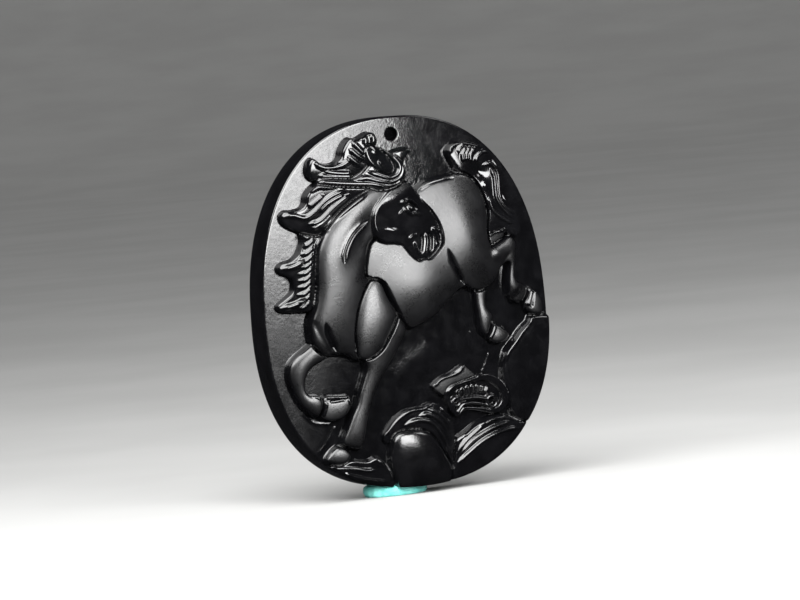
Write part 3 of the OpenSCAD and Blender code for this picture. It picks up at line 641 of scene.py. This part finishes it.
upper = form("mane_upper", [
    (-12.2, 17.4), (-13.3, 16.7), (-14, 15.8), (-14.3, 14.8), (-14.9, 14.2), (-16, 14),
    (-17.2, 14), (-17.8, 13.4), (-17.6, 12.4), (-16.8, 11.7), (-15.8, 11.2), (-15.1, 10.8),
    (-13.9, 10.4), (-12.6, 10.3), (-11.6, 11.2), (-10, 12.8), (-8, 14.3), (-6, 15.5),
    (-4.6, 16.3), (-6.5, 17), (-9, 17.3), (-11, 17.5)],
    1.4, 0.2, 0.35, 0.2, 0.95, lean=(0.06, 0.1))
upper_lines = [
    [(-17.4, 13.3), (-16.2, 13.4), (-14.6, 12.9), (-13.2, 13.5), (-11.7, 14.8), (-10.3, 15.6),
     (-8.5, 16.1)],
    [(-13.8, 14.4), (-13, 14.9), (-11.8, 15.7)],
    [(-12.4, 13.6), (-11.4, 14.4), (-10, 15.1), (-8.9, 15.5)],
    [(-13.9, 12), (-12.9, 12.1), (-11.9, 12.6), (-10.5, 13.8), (-9.4, 14.6), (-8.1, 15.4)],
    [(-13.6, 11.3), (-12, 12), (-10.8, 13)],
    [(-13.6, 16.4), (-12.3, 16.9), (-11, 16.8), (-9.6, 16.9), (-7.4, 16.7)]]
locks(upper_lines, 0.28, 0.4, upper)
ridge([(-12.2, 10.4), (-11, 11.8), (-9.4, 13), (-7.4, 14.2), (-5, 15.5)], 0.3, 0.45, None, 1)

# ---- Head ----

head = form("head", [
    (-2.7, 15), (-1.2, 15.9), (0.6, 16.5), (1.3, 16.2), (2.1, 14.8), (3, 13.4), (4.1, 12),
    (4.9, 10.3), (5.2, 8.8), (5.1, 7.5), (4.3, 6.5), (3.1, 5.7), (2.2, 5.8), (1.3, 5.6),
    (0.3, 6.5), (-0.6, 7.7), (-1.8, 8.3), (-3.2, 8.5), (-4.4, 9.1), (-4.9, 10.4),
    (-4.9, 11.8), (-4.5, 13.1), (-3.7, 14.1)],
    2.05, 0, 0.25, 0.3, 0.85, lean=(-0.09, -0.01))
hump(-0.9, 14.5, 0.3, 2.8, 0.9, 14, None, head)
hump(-1.2, 15.4, 0, 2.8, 0.7, 14, 0, head)
eye_lines = [
    ([(-0.8, 13.5), (0, 13.9), (0.8, 13.9), (1.6, 13.4), (2.2, 12.6)], 0.25, 0.35),
    ([(-0.2, 13), (0.3, 12.4), (1, 12), (1.7, 12), (2.5, 11.6)], 0.3, 0.35),
    ([(0.2, 13.2), (0.9, 13.5), (1.5, 13.1), (1.8, 12.5)], -0.25, 0.25),
    ([(-0.9, 12.1), (-0.4, 12.5), (0.1, 12.6)], 0.12, 0.3)]
for line, rise, width in eye_lines:
    ridge(line, rise, width, head, 1)
hump(1, 12.8, 0.3, 0.42, 0.36, -20, 1, head)
hump(-1.8, 9.9, 0.22, 1.1, 0.4, -20, 1, head)
jaw_lines = [
    ([(-4.6, 12.9), (-4.9, 11.6), (-4.6, 10.3), (-3.8, 9.3)], 0.12, 0.3),
    ([(4, 9.9), (4.5, 9.1), (4.8, 8), (4.8, 7.1)], 0.3, 0.5),
    ([(3.5, 9.4), (3.7, 8.4), (3.6, 7.4), (3.4, 6.6)], -0.35, 0.35),
    ([(2.9, 9.2), (3, 8.2), (2.8, 7.2), (2.6, 6.4)], 0.2, 0.3),
    ([(2.2, 9.2), (2.3, 8.2), (2.1, 7.2), (1.9, 6.4)], -0.3, 0.3),
    ([(1.1, 8.2), (1.2, 7.4), (1.5, 6.6)], 0.25, 0.35),
    ([(0.3, 8.6), (0.9, 9), (1.6, 9.1)], 0.12, 0.4)]
for line, rise, width in jaw_lines:
    ridge(line, rise, width, head, 1)

# ---- Forelock, crest and ears ----

crest = form("mane_crest", [
    (-13.4, 19.2), (-13.1, 20.3), (-12.6, 20.8), (-12.1, 20.7), (-11.4, 20.1), (-10.4, 19.8),
    (-9.4, 19.9), (-8.6, 20.5), (-8.2, 21.6), (-7.5, 22.6), (-6.8, 23.1), (-6.2, 22.9),
    (-5.5, 23), (-4.4, 23.5), (-3.6, 23.6), (-3.1, 23), (-3.1, 22), (-4, 20.5), (-5, 18.7),
    (-7.2, 17.4), (-9.5, 17.6), (-11.5, 17.7), (-12.6, 17.8), (-13.2, 18.3)],
    1.6, 0.3, 0.4, 0.2, 0.95, lean=(0.04, 0.08))
crest_lines = [
    [(-12.3, 20.1), (-11.2, 19.5), (-9.8, 19.4), (-8.4, 19.6), (-7.4, 20.2)],
    [(-11, 18.9), (-9.8, 18.6), (-8.6, 18.4), (-7.4, 18.3)],
    [(-11.8, 18.4), (-10.4, 18.1), (-8.6, 17.9), (-7.2, 17.8)],
    [(-7.5, 20.6), (-6.7, 19.9), (-5.9, 19.3), (-5.2, 18.9)],
    [(-7.2, 21.6), (-6.5, 20.9), (-5.9, 20.4), (-5.3, 20)],
    [(-6.7, 22.5), (-6.1, 21.8), (-5.6, 21.2), (-5.2, 20.9)],
    [(-5, 23.1), (-4.9, 22.6), (-5, 22.1)],
    [(-3.8, 23.2), (-3.7, 22.7), (-3.8, 22.2)]]
locks(crest_lines, 0.3, 0.46, crest)

form("far_ear", [
    (-1.2, 20.3), (-0.2, 20.8), (1, 21), (2.1, 20.9), (1.5, 20.1), (0.8, 19.4), (0.3, 19),
    (-0.5, 19.4)],
    1.5, 0.2, 0.3, 0.25, 0.95)

forelock = form("forelock", [
    (-2.6, 21.3), (-1, 20.5), (0.2, 19.5), (0.7, 18.4), (0.6, 17.2), (-0.2, 16.3),
    (-1.6, 15.8), (-3.4, 15.7), (-4.8, 16.2), (-6.5, 16.4), (-9, 16.7), (-11.2, 17.1),
    (-12.2, 17.4), (-11.5, 17.9), (-9.5, 17.8), (-7.2, 17.6), (-5.8, 18.2), (-5, 18.9),
    (-4, 19.6)],
    1.9, 0.3, 0.35, 0.3, 0.95)
forelock_lines = [
    [(-1.4, 20.4), (-0.5, 19.5), (-0.1, 18.5), (-0.6, 17.6), (-1.9, 17.2), (-3.4, 17.7),
     (-4.8, 18.3)],
    [(-0.1, 19.4), (0.3, 18.2), (-0.3, 17.1), (-1.9, 16.6), (-3.8, 17), (-5.4, 17.5),
     (-7, 17.3)],
    [(0.3, 17.2), (-0.8, 16.3), (-2.6, 16.1), (-4.4, 16.5), (-6.6, 16.8), (-9, 17.1),
     (-11.4, 17.5)]]
locks(forelock_lines, 0.28, 0.48, forelock)

ear = form("near_ear", [
    (-5.1, 21.2), (-4.4, 21.9), (-3.6, 21.8), (-2.6, 21.1), (-1.7, 20.3), (-1.1, 19.3),
    (-0.9, 18.4), (-1.3, 17.9), (-2.2, 17.9), (-3.2, 18.3), (-4.2, 19), (-4.9, 20)],
    2.0, 0.2, 0.25, 0.3, 1.0, lean=(-0.2, -0.12))
hump(-3.6, 21, 0.12, 0.5, 0.35, -35, 1, ear)
ridge([(-3.4, 19.8), (-2.9, 19.1), (-2.4, 18.4)], 0.25, 0.35, ear, 1, 0.3)

# ---- Finish of the whole face ----

GRAIN_DEPTH = 0.004
RIM_WIDTH = 0.5
RIM_MARGIN = 0.1
EDGE_ROLL = 0.25
plate_inside = oval_inside()

# The blasting leaves a grain, mostly where the forms kept the smoothing tool off the ground.
form_share = np.zeros(X.shape)
for field in region.values():
    form_share = np.maximum(form_share, (field > 0).astype(float))
near_forms = blur(form_share, 1.0) * (1 - form_share)
grain = blur(np.random.default_rng(5).normal(size=X.shape), 0.1)
grain *= GRAIN_DEPTH / grain.std()
ground += grain * np.clip(0.12 + 2.5 * near_forms, 0, 1)
ground_polish = np.maximum(ground_polish, ramp(EDGE_ROLL + 0.15 - plate_inside, 0, 0.15))

# The forms' walls are polished, whatever the finish of their tops.
rise_z, rise_x = np.gradient(height, STEP)
slope = np.hypot(rise_x, rise_z)
polish = np.maximum(np.clip(polish, 0, 1), ramp(blur(slope, 0.12), 1.2, 2.4))

# The forms that reach the plate's edge are rounded down to it, and end just inside it.
rim_drop = np.clip(1 - plate_inside / RIM_WIDTH, 0, 1)
height -= RIM_WIDTH * (1 - np.sqrt(1 - rim_drop ** 2))
rise_z, rise_x = np.gradient(height, STEP)
for node in region:
    region[node] = np.minimum(region[node], plate_inside - RIM_MARGIN)

# ---- Meshes ----

# How far the forms' undersides are sunk into the plate.
SINK = 0.8


def clipped(field, stride=1):
    """The part of the grid where field is above 0, cut smoothly along its edge.

    Gives the places of the vertices in rows and columns of the grid, the faces, and the
    edges along the cut.
    """
    f = field[::stride, ::stride]
    rows, cols = f.shape
    inside = f > 0
    count = (inside[:-1, :-1].astype(int) + inside[:-1, 1:] + inside[1:, :-1]
             + inside[1:, 1:])
    index = -np.ones(f.shape, int)
    index[inside] = np.arange(inside.sum())
    places = [tuple(p) for p in np.argwhere(inside)]
    i, j = np.nonzero(count == 4)
    quads = np.stack([index[i, j], index[i, j + 1], index[i + 1, j + 1], index[i + 1, j]], 1)
    faces = quads.tolist()
    cuts = {}
    edges = []
    ring = ((0, 0), (0, 1), (1, 1), (1, 0))
    for i, j in zip(*np.nonzero((count > 0) & (count < 4))):
        face = []
        marks = []
        for k in range(4):
            a = (i + ring[k][0], j + ring[k][1])
            b = (i + ring[(k + 1) % 4][0], j + ring[(k + 1) % 4][1])
            if inside[a]:
                face.append(index[a])
                marks.append(0)
            if inside[a] != inside[b]:
                key = (a, b) if a < b else (b, a)
                if key not in cuts:
                    t = f[key[0]] / (f[key[0]] - f[key[1]])
                    t = min(max(t, 0.02), 0.98)
                    cuts[key] = len(places)
                    places.append((key[0][0] + t * (key[1][0] - key[0][0]),
                                   key[0][1] + t * (key[1][1] - key[0][1])))
                face.append(cuts[key])
                marks.append(1)
        if len(face) < 3:
            continue
        faces.append([int(v) for v in face])
        for k in range(len(face)):
            if marks[k] and marks[(k + 1) % len(face)]:
                edges.append((int(face[k]), int(face[(k + 1) % len(face)])))
    return np.array(places, float) * stride, faces, edges


def sample(field, places):
    """Field between the grid's points, at places in rows and columns."""
    i = np.clip(places[:, 0].astype(int), 0, field.shape[0] - 2)
    j = np.clip(places[:, 1].astype(int), 0, field.shape[1] - 2)
    u = places[:, 0] - i
    v = places[:, 1] - j
    return ((1 - u) * (1 - v) * field[i, j] + (1 - u) * v * field[i, j + 1]
            + u * (1 - v) * field[i + 1, j] + u * v * field[i + 1, j + 1])


def to_row(x, rise, z):
    """From the face's millimetres to the row's metres."""
    return np.stack([x, FACE_Y - rise, CENTRE_Z + z], 1) * MM


def make_piece(name, points, faces, smooth, shine):
    """A mesh object that carries its polish at each vertex."""
    mesh = bpy.data.meshes.new(name)
    mesh.from_pydata(points.tolist(), [], faces)
    mesh.polygons.foreach_set("use_smooth", smooth)
    attribute = mesh.attributes.new("polish", "FLOAT", "POINT")
    attribute.data.foreach_set("value", shine.astype(np.float32))
    mesh.validate()
    piece = bpy.data.objects.new(name, mesh)
    bpy.context.scene.collection.objects.link(piece)
    return piece


def relief_piece(name):
    """A carved form: its stretch of the height field, with sides and a flat underside.

    Near its border the top is shaded by the slope of the whole field, so that no seam
    shows where two forms of the stone meet.
    """
    places, faces, edges = clipped(region[name])
    count = len(places)
    x = sample(X, places)
    z = sample(Z, places)
    rise = sample(height, places)
    points = np.concatenate([to_row(x, rise, z), to_row(x, np.full(count, -SINK), z)])
    skirts = [(b, a, a + count, b + count) for a, b in edges]
    under = [[v + count for v in reversed(face)] for face in faces]
    smooth = [True] * len(faces) + [False] * (len(skirts) + len(under))
    shine = np.tile(sample(polish, places), 2)
    piece = make_piece(name, points, faces + skirts + under, smooth, shine)
    normals = np.stack([-sample(rise_x, places), -np.ones(count), -sample(rise_z, places)], 1)
    normals /= np.linalg.norm(normals, axis=1)[:, None]
    corners = np.zeros(len(piece.data.loops), int)
    piece.data.loops.foreach_get("vertex_index", corners)
    top_corners = sum(len(face) for face in faces)
    normals[sample(region[name], places) > 2 * STEP] = 0
    shown = np.zeros((len(corners), 3))
    shown[:top_corners] = normals[corners[:top_corners]]
    piece.data.normals_split_custom_set(shown.tolist())
    return piece


def ring_order(edges):
    """The vertices of closed borders, each in the order in which its edges run."""
    after = dict(edges)
    loops = []
    while after:
        start = next(iter(after))
        loop = []
        v = start
        while v in after:
            loop.append(v)
            v = after.pop(v)
        loops.append(loop)
    return loops


def turned_edge(roll, steps=5):
    """How far in and how far down a rounded edge is, from its flat start to its wall."""
    t = np.linspace(0, np.pi / 2, steps + 1)[1:]
    return zip(roll * (1 - np.sin(t)), roll * (1 - np.cos(t)))


PLATE_STRIDE = 2
HOLE_ROLL = 0.15
THICKNESS = BACK_Y - FACE_Y


def plate_piece():
    """The plate: its carved ground, rounded edge, drilled hole and flat back."""
    hole_distance = np.hypot(X, Z - HOLE_Z) - HOLE_R
    field = np.minimum(plate_inside - EDGE_ROLL, hole_distance - HOLE_ROLL)
    places, faces, edges = clipped(field, PLATE_STRIDE)
    x = sample(X, places)
    z = sample(Z, places)
    rise = sample(ground, places)
    points = [to_row(x, rise, z)]
    shine = [sample(ground_polish, places)]
    smooth = [True] * len(faces)
    count = len(places)
    last_rings = []
    for loop in ring_order(edges):
        loop_x, loop_z, loop_rise = x[loop], z[loop], rise[loop]
        is_hole = np.ptp(loop_x) < 4 * HOLE_R
        if is_hole:
            roll = HOLE_ROLL
            angle = np.arctan2(loop_z - HOLE_Z, loop_x)
        else:
            roll = EDGE_ROLL
            angle = oval_angle(loop_x, loop_z)
        front = [(inset, loop_rise - drop) for inset, drop in turned_edge(roll)]
        back = [(inset, drop - THICKNESS) for inset, drop in turned_edge(roll)]
        ring = loop
        for inset, ring_rise in front + back[::-1] + [(roll, -THICKNESS)]:
            if is_hole:
                ring_x = (HOLE_R + inset) * np.cos(angle)
                ring_z = HOLE_Z + (HOLE_R + inset) * np.sin(angle)
            else:
                ring_x, ring_z = oval_point(angle, inset)
            points.append(to_row(ring_x, ring_rise + np.zeros(len(loop)), ring_z))
            shine.append(np.ones(len(loop)))
            new_ring = list(range(count, count + len(loop)))
            count += len(loop)
            for k in range(len(loop)):
                n = (k + 1) % len(loop)
                faces.append((ring[n], ring[k], new_ring[k], new_ring[n]))
            ring = new_ring
        last_rings.append(ring)
    smooth += [True] * (len(faces) - len(smooth))
    piece = make_piece("stone_plate", np.concatenate(points), faces, smooth,
                       np.concatenate(shine))
    mesh = bmesh.new()
    mesh.from_mesh(piece.data)
    mesh.verts.ensure_lookup_table()
    rims = []
    for ring in last_rings:
        for k in range(len(ring)):
            rims.append(mesh.edges.get((mesh.verts[ring[k]],
                                        mesh.verts[ring[(k + 1) % len(ring)]])))
    bmesh.ops.triangle_fill(mesh, edges=rims, use_beauty=True, normal=(0, 1, 0))
    bmesh.ops.recalc_face_normals(mesh, faces=mesh.faces)
    mesh.to_mesh(piece.data)
    mesh.free()
    return piece


# ---- Putty ----

pad_low, pad_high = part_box("putty_pad")
PAD_PROFILE = [(0, 0), (0.5, 0), (0.88, 0), (0.95, 0.05), (0.985, 0.2), (0.99, 0.42),
               (0.97, 0.62), (0.92, 0.76), (0.84, 0.85), (0.7, 0.88), (0.4, 0.86), (0, 0.85)]
PAD_AROUND = 200
PAD_SHARE = 0.96


def putty_piece():
    """A pressed lump of putty: a round-ended pad with an uneven, thumbed surface."""
    middle = (pad_low + pad_high) / 2
    half = (pad_high - pad_low) / 2
    profile = np.maximum(spline(PAD_PROFILE, False, 5)[1:-1], 0)
    verts = []
    for out, up in profile:
        for i in range(PAD_AROUND):
            a = 2 * math.pi * i / PAD_AROUND
            c, s = math.cos(a), math.sin(a)
            x = out * (half.y * c + (half.x - half.y) * math.copysign(abs(c) ** 0.7, c))
            y = out * half.y * s
            place = Vector((x, y, up * pad_high.z)) / MM
            lump = 0.05 * noise.noise(place * 0.55) + 0.018 * noise.noise(place * 1.7)
            share = PAD_SHARE + lump
            lift = 1 - 0.1 * (1 + x / half.x) + 0.06 * noise.noise(place * 0.8)
            verts.append((x * share + middle.x, y * share + middle.y, up * pad_high.z * lift))
    rings = len(profile)
    faces = []
    for j in range(rings - 1):
        for i in range(PAD_AROUND):
            n = (i + 1) % PAD_AROUND
            faces.append((j * PAD_AROUND + i, j * PAD_AROUND + n,
                          (j + 1) * PAD_AROUND + n, (j + 1) * PAD_AROUND + i))
    bottom = len(verts)
    verts.append((middle.x, middle.y, 0))
    top = len(verts)
    verts.append((middle.x, middle.y, PAD_PROFILE[-1][1] * pad_high.z * 0.9))
    last = (rings - 1) * PAD_AROUND
    for i in range(PAD_AROUND):
        n = (i + 1) % PAD_AROUND
        faces.append((bottom, n, i))
        faces.append((top, last + i, last + n))
    mesh = bpy.data.meshes.new("putty")
    mesh.from_pydata(verts, [], faces)
    mesh.polygons.foreach_set("use_smooth", [True] * len(faces))
    piece = bpy.data.objects.new("putty", mesh)
    bpy.context.scene.collection.objects.link(piece)
    return piece


# ---- Materials ----

class Nodes:
    """Short ways to make and join the nodes of one material."""

    def __init__(self, name):
        self.material = bpy.data.materials.new(name)
        self.material.use_nodes = True
        self.tree = self.material.node_tree
        self.shader = self.tree.nodes["Principled BSDF"]
        self.place = self.tree.nodes.new("ShaderNodeTexCoord").outputs["Object"]

    def join(self, value, socket):
        if isinstance(value, bpy.types.NodeSocket):
            self.tree.links.new(value, socket)
        else:
            socket.default_value = value

    def noise(self, size_mm, detail=2.0, roughness=0.5):
        node = self.tree.nodes.new("ShaderNodeTexNoise")
        node.inputs["Scale"].default_value = 1 / (size_mm * MM)
        node.inputs["Detail"].default_value = detail
        node.inputs["Roughness"].default_value = roughness
        self.tree.links.new(self.place, node.inputs["Vector"])
        return node.outputs["Fac"]

    def math(self, kind, a, b=0.0):
        node = self.tree.nodes.new("ShaderNodeMath")
        node.operation = kind
        self.join(a, node.inputs[0])
        self.join(b, node.inputs[1])
        return node.outputs[0]

    def spread(self, value, low, high, out_low=0.0, out_high=1.0):
        node = self.tree.nodes.new("ShaderNodeMapRange")
        node.interpolation_type = "SMOOTHSTEP"
        self.join(value, node.inputs["Value"])
        for socket, number in zip(("From Min", "From Max", "To Min", "To Max"),
                                  (low, high, out_low, out_high)):
            node.inputs[socket].default_value = number
        return node.outputs["Result"]

    def blend(self, share, a, b):
        node = self.tree.nodes.new("ShaderNodeMix")
        node.data_type = "RGBA"
        self.join(share, node.inputs["Factor"])
        for value, socket in ((a, node.inputs["A"]), (b, node.inputs["B"])):
            self.join(value if not isinstance(value, tuple) else (*value, 1.0), socket)
        return node.outputs["Result"]

    def mixed(self, share, a, b):
        """A number between a and b."""
        node = self.tree.nodes.new("ShaderNodeMix")
        self.join(share, node.inputs["Factor"])
        self.join(a, node.inputs["A"])
        self.join(b, node.inputs["B"])
        return node.outputs["Result"]

    def bump(self, surface, depth_mm, strength=1.0, normal=None):
        node = self.tree.nodes.new("ShaderNodeBump")
        node.inputs["Distance"].default_value = depth_mm * MM
        self.join(strength, node.inputs["Strength"])
        self.join(surface, node.inputs["Height"])
        if normal is not None:
            self.join(normal, node.inputs["Normal"])
        return node.outputs["Normal"]


def attribute(nodes, name):
    node = nodes.tree.nodes.new("ShaderNodeAttribute")
    node.attribute_name = name
    return node.outputs["Fac"]


def stone_material():
    """Black stone, blasted to a fine satin grain and polished where polish is 1."""
    n = Nodes("black_stone")
    shine = attribute(n, "polish")
    cloud = n.noise(2.6, 3)
    grain = n.noise(0.2, 1)
    pits = n.noise(0.5, 2)
    wipe = n.noise(1.3, 3)
    colour = n.blend(n.spread(cloud, 0.35, 0.7), (0.0015, 0.0015, 0.0018), (0.003, 0.003, 0.0035))
    n.join(colour, n.shader.inputs["Base Color"])
    frosted_rough = n.math("ADD", n.spread(cloud, 0.3, 0.7, 0.29, 0.33),
                           n.spread(grain, 0.3, 0.75, -0.03, 0.04))
    polish_rough = n.spread(wipe, 0.35, 0.75, 0.10, 0.15)
    satin_share = n.math("MINIMUM", n.math("MULTIPLY", shine, 1.6), 1.0)
    n.join(n.mixed(satin_share, frosted_rough, polish_rough), n.shader.inputs["Roughness"])
    matt = n.spread(shine, 0.7, 1.0, 1.0, 0.0)
    fine = n.bump(grain, 0.01, n.math("MULTIPLY", matt, n.spread(shine, 0.0, 0.5, 0.4, 1.0)))
    coarse = n.bump(n.spread(pits, 0.35, 0.75), 0.003, matt, fine)
    n.join(coarse, n.shader.inputs["Normal"])
    n.shader.inputs["IOR"].default_value = 1.62
    return n.material


def putty_material():
    """Turquoise reusable putty: soft, slightly waxy, with a paler pressed skin."""
    n = Nodes("turquoise_putty")
    cloud = n.noise(1.8, 4)
    crumbs = n.noise(0.35, 3)
    colour = n.blend(n.spread(cloud, 0.35, 0.7), (0.13, 0.52, 0.47), (0.25, 0.74, 0.67))
    n.join(colour, n.shader.inputs["Base Color"])
    n.join(n.spread(crumbs, 0.3, 0.7, 0.42, 0.6), n.shader.inputs["Roughness"])
    n.join(n.bump(crumbs, 0.05, 0.8, n.bump(cloud, 0.2, 0.6)), n.shader.inputs["Normal"])
    n.shader.inputs["Subsurface Weight"].default_value = 0.15
    n.shader.inputs["Subsurface Radius"].default_value = (0.3, 1.0, 0.9)
    n.shader.inputs["Subsurface Scale"].default_value = 0.0006
    return n.material


def floor_material():
    """A pale matt board with a faint tooth."""
    n = Nodes("pale_board")
    cloud = n.noise(60, 3)
    colour = n.blend(n.spread(cloud, 0.3, 0.7), (0.33, 0.33, 0.325), (0.36, 0.36, 0.355))
    n.join(colour, n.shader.inputs["Base Color"])
    n.shader.inputs["Roughness"].default_value = 0.9
    n.join(n.bump(n.noise(0.6, 2), 0.02, 0.5), n.shader.inputs["Normal"])
    return n.material


# ---- Assembly ----

stone = stone_material()
SATIN = ("neck_chest", "shoulder", "barrel", "haunch", "haunch_fold",
         "foreleg_standing", "hoof_standing", "foreleg_raised", "hoof_raised",
         "hind_leg_near", "hind_hoof_near", "hind_leg_far", "hind_hoof_far")


def place(piece, node, material, slot):
    """Give a piece its material and its body, and hide the CAD node that it stands for. slot is
    not used.
    """
    piece.data.materials.append(material)
    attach(piece, "root")
    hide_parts(node)


for node in region:
    place(relief_piece(node), node, stone, "stone_satin" if node in SATIN else "stone_polished")
place(plate_piece(), "plate", stone, "stone_satin")
place(putty_piece(), "putty_pad", putty_material(), "putty")

# ---- Studio ----


def floor_and_backdrop():
    """A round pale board that turns up into a wall far behind on every side."""
    profile = [(0, 0), (0.4, 0), (1.2, 0), (1.8, 0.02), (2.3, 0.14), (2.6, 0.4), (2.75, 0.8),
               (2.8, 1.4), (2.8, 2.2)]
    rings = spline(profile, False, 6)[1:]
    around = 96
    verts = [(0, 0, 0)]
    for r, z in rings:
        for i in range(around):
            a = 2 * math.pi * i / around
            verts.append((r * math.cos(a), r * math.sin(a), z))
    faces = [(0, 1 + i, 1 + (i + 1) % around) for i in range(around)]
    for j in range(len(rings) - 1):
        for i in range(around):
            n = (i + 1) % around
            faces.append((1 + j * around + i, 1 + (j + 1) * around + i,
                          1 + (j + 1) * around + n, 1 + j * around + n))
    mesh = bpy.data.meshes.new("board")
    mesh.from_pydata(verts, [], faces)
    mesh.polygons.foreach_set("use_smooth", [True] * len(faces))
    board = bpy.data.objects.new("board", mesh)
    bpy.context.scene.collection.objects.link(board)
    mesh.materials.append(floor_material())
    board.visible_glossy = False


def softbox(name, azimuth, elevation, distance, size, power):
    """A square soft lamp aimed at the plate's middle. Azimuth 0 is in front, 90 at the right."""
    data = bpy.data.lights.new(name, "AREA")
    data.size = size
    data.energy = power
    lamp = bpy.data.objects.new(name, data)
    bpy.context.scene.collection.objects.link(lamp)
    a, e = math.radians(azimuth), math.radians(elevation)
    away = Vector((math.sin(a) * math.cos(e), -math.cos(a) * math.cos(e), math.sin(e)))
    aim = Vector((0, 0, CENTRE_Z * MM))
    lamp.location = aim + away * distance
    lamp.rotation_euler = away.to_track_quat("Z", "Y").to_euler()
    lamp.visible_camera = False


def world():
    """Pale for the room's soft light, nearly black in the polish."""
    sky = bpy.data.worlds.new("studio")
    bpy.context.scene.world = sky
    sky.use_nodes = True
    tree = sky.node_tree
    room = tree.nodes["Background"]
    room.inputs["Color"].default_value = (0.9, 0.9, 0.9, 1)
    dark = tree.nodes.new("ShaderNodeBackground")
    dark.inputs["Color"].default_value = (0.02, 0.02, 0.022, 1)
    rays = tree.nodes.new("ShaderNodeLightPath")
    mix = tree.nodes.new("ShaderNodeMixShader")
    tree.links.new(rays.outputs["Is Glossy Ray"], mix.inputs["Fac"])
    tree.links.new(room.outputs[0], mix.inputs[1])
    tree.links.new(dark.outputs[0], mix.inputs[2])
    tree.links.new(mix.outputs[0], tree.nodes["World Output"].inputs["Surface"])


floor_and_backdrop()
world()
softbox("key", 7, 16, 0.14, 0.07, 0.26)
softbox("side", 50, 40, 0.4, 0.1, 0.25)
softbox("left", -45, 52, 0.35, 0.35, 4)
bpy.context.scene.view_settings.view_transform = "Standard"
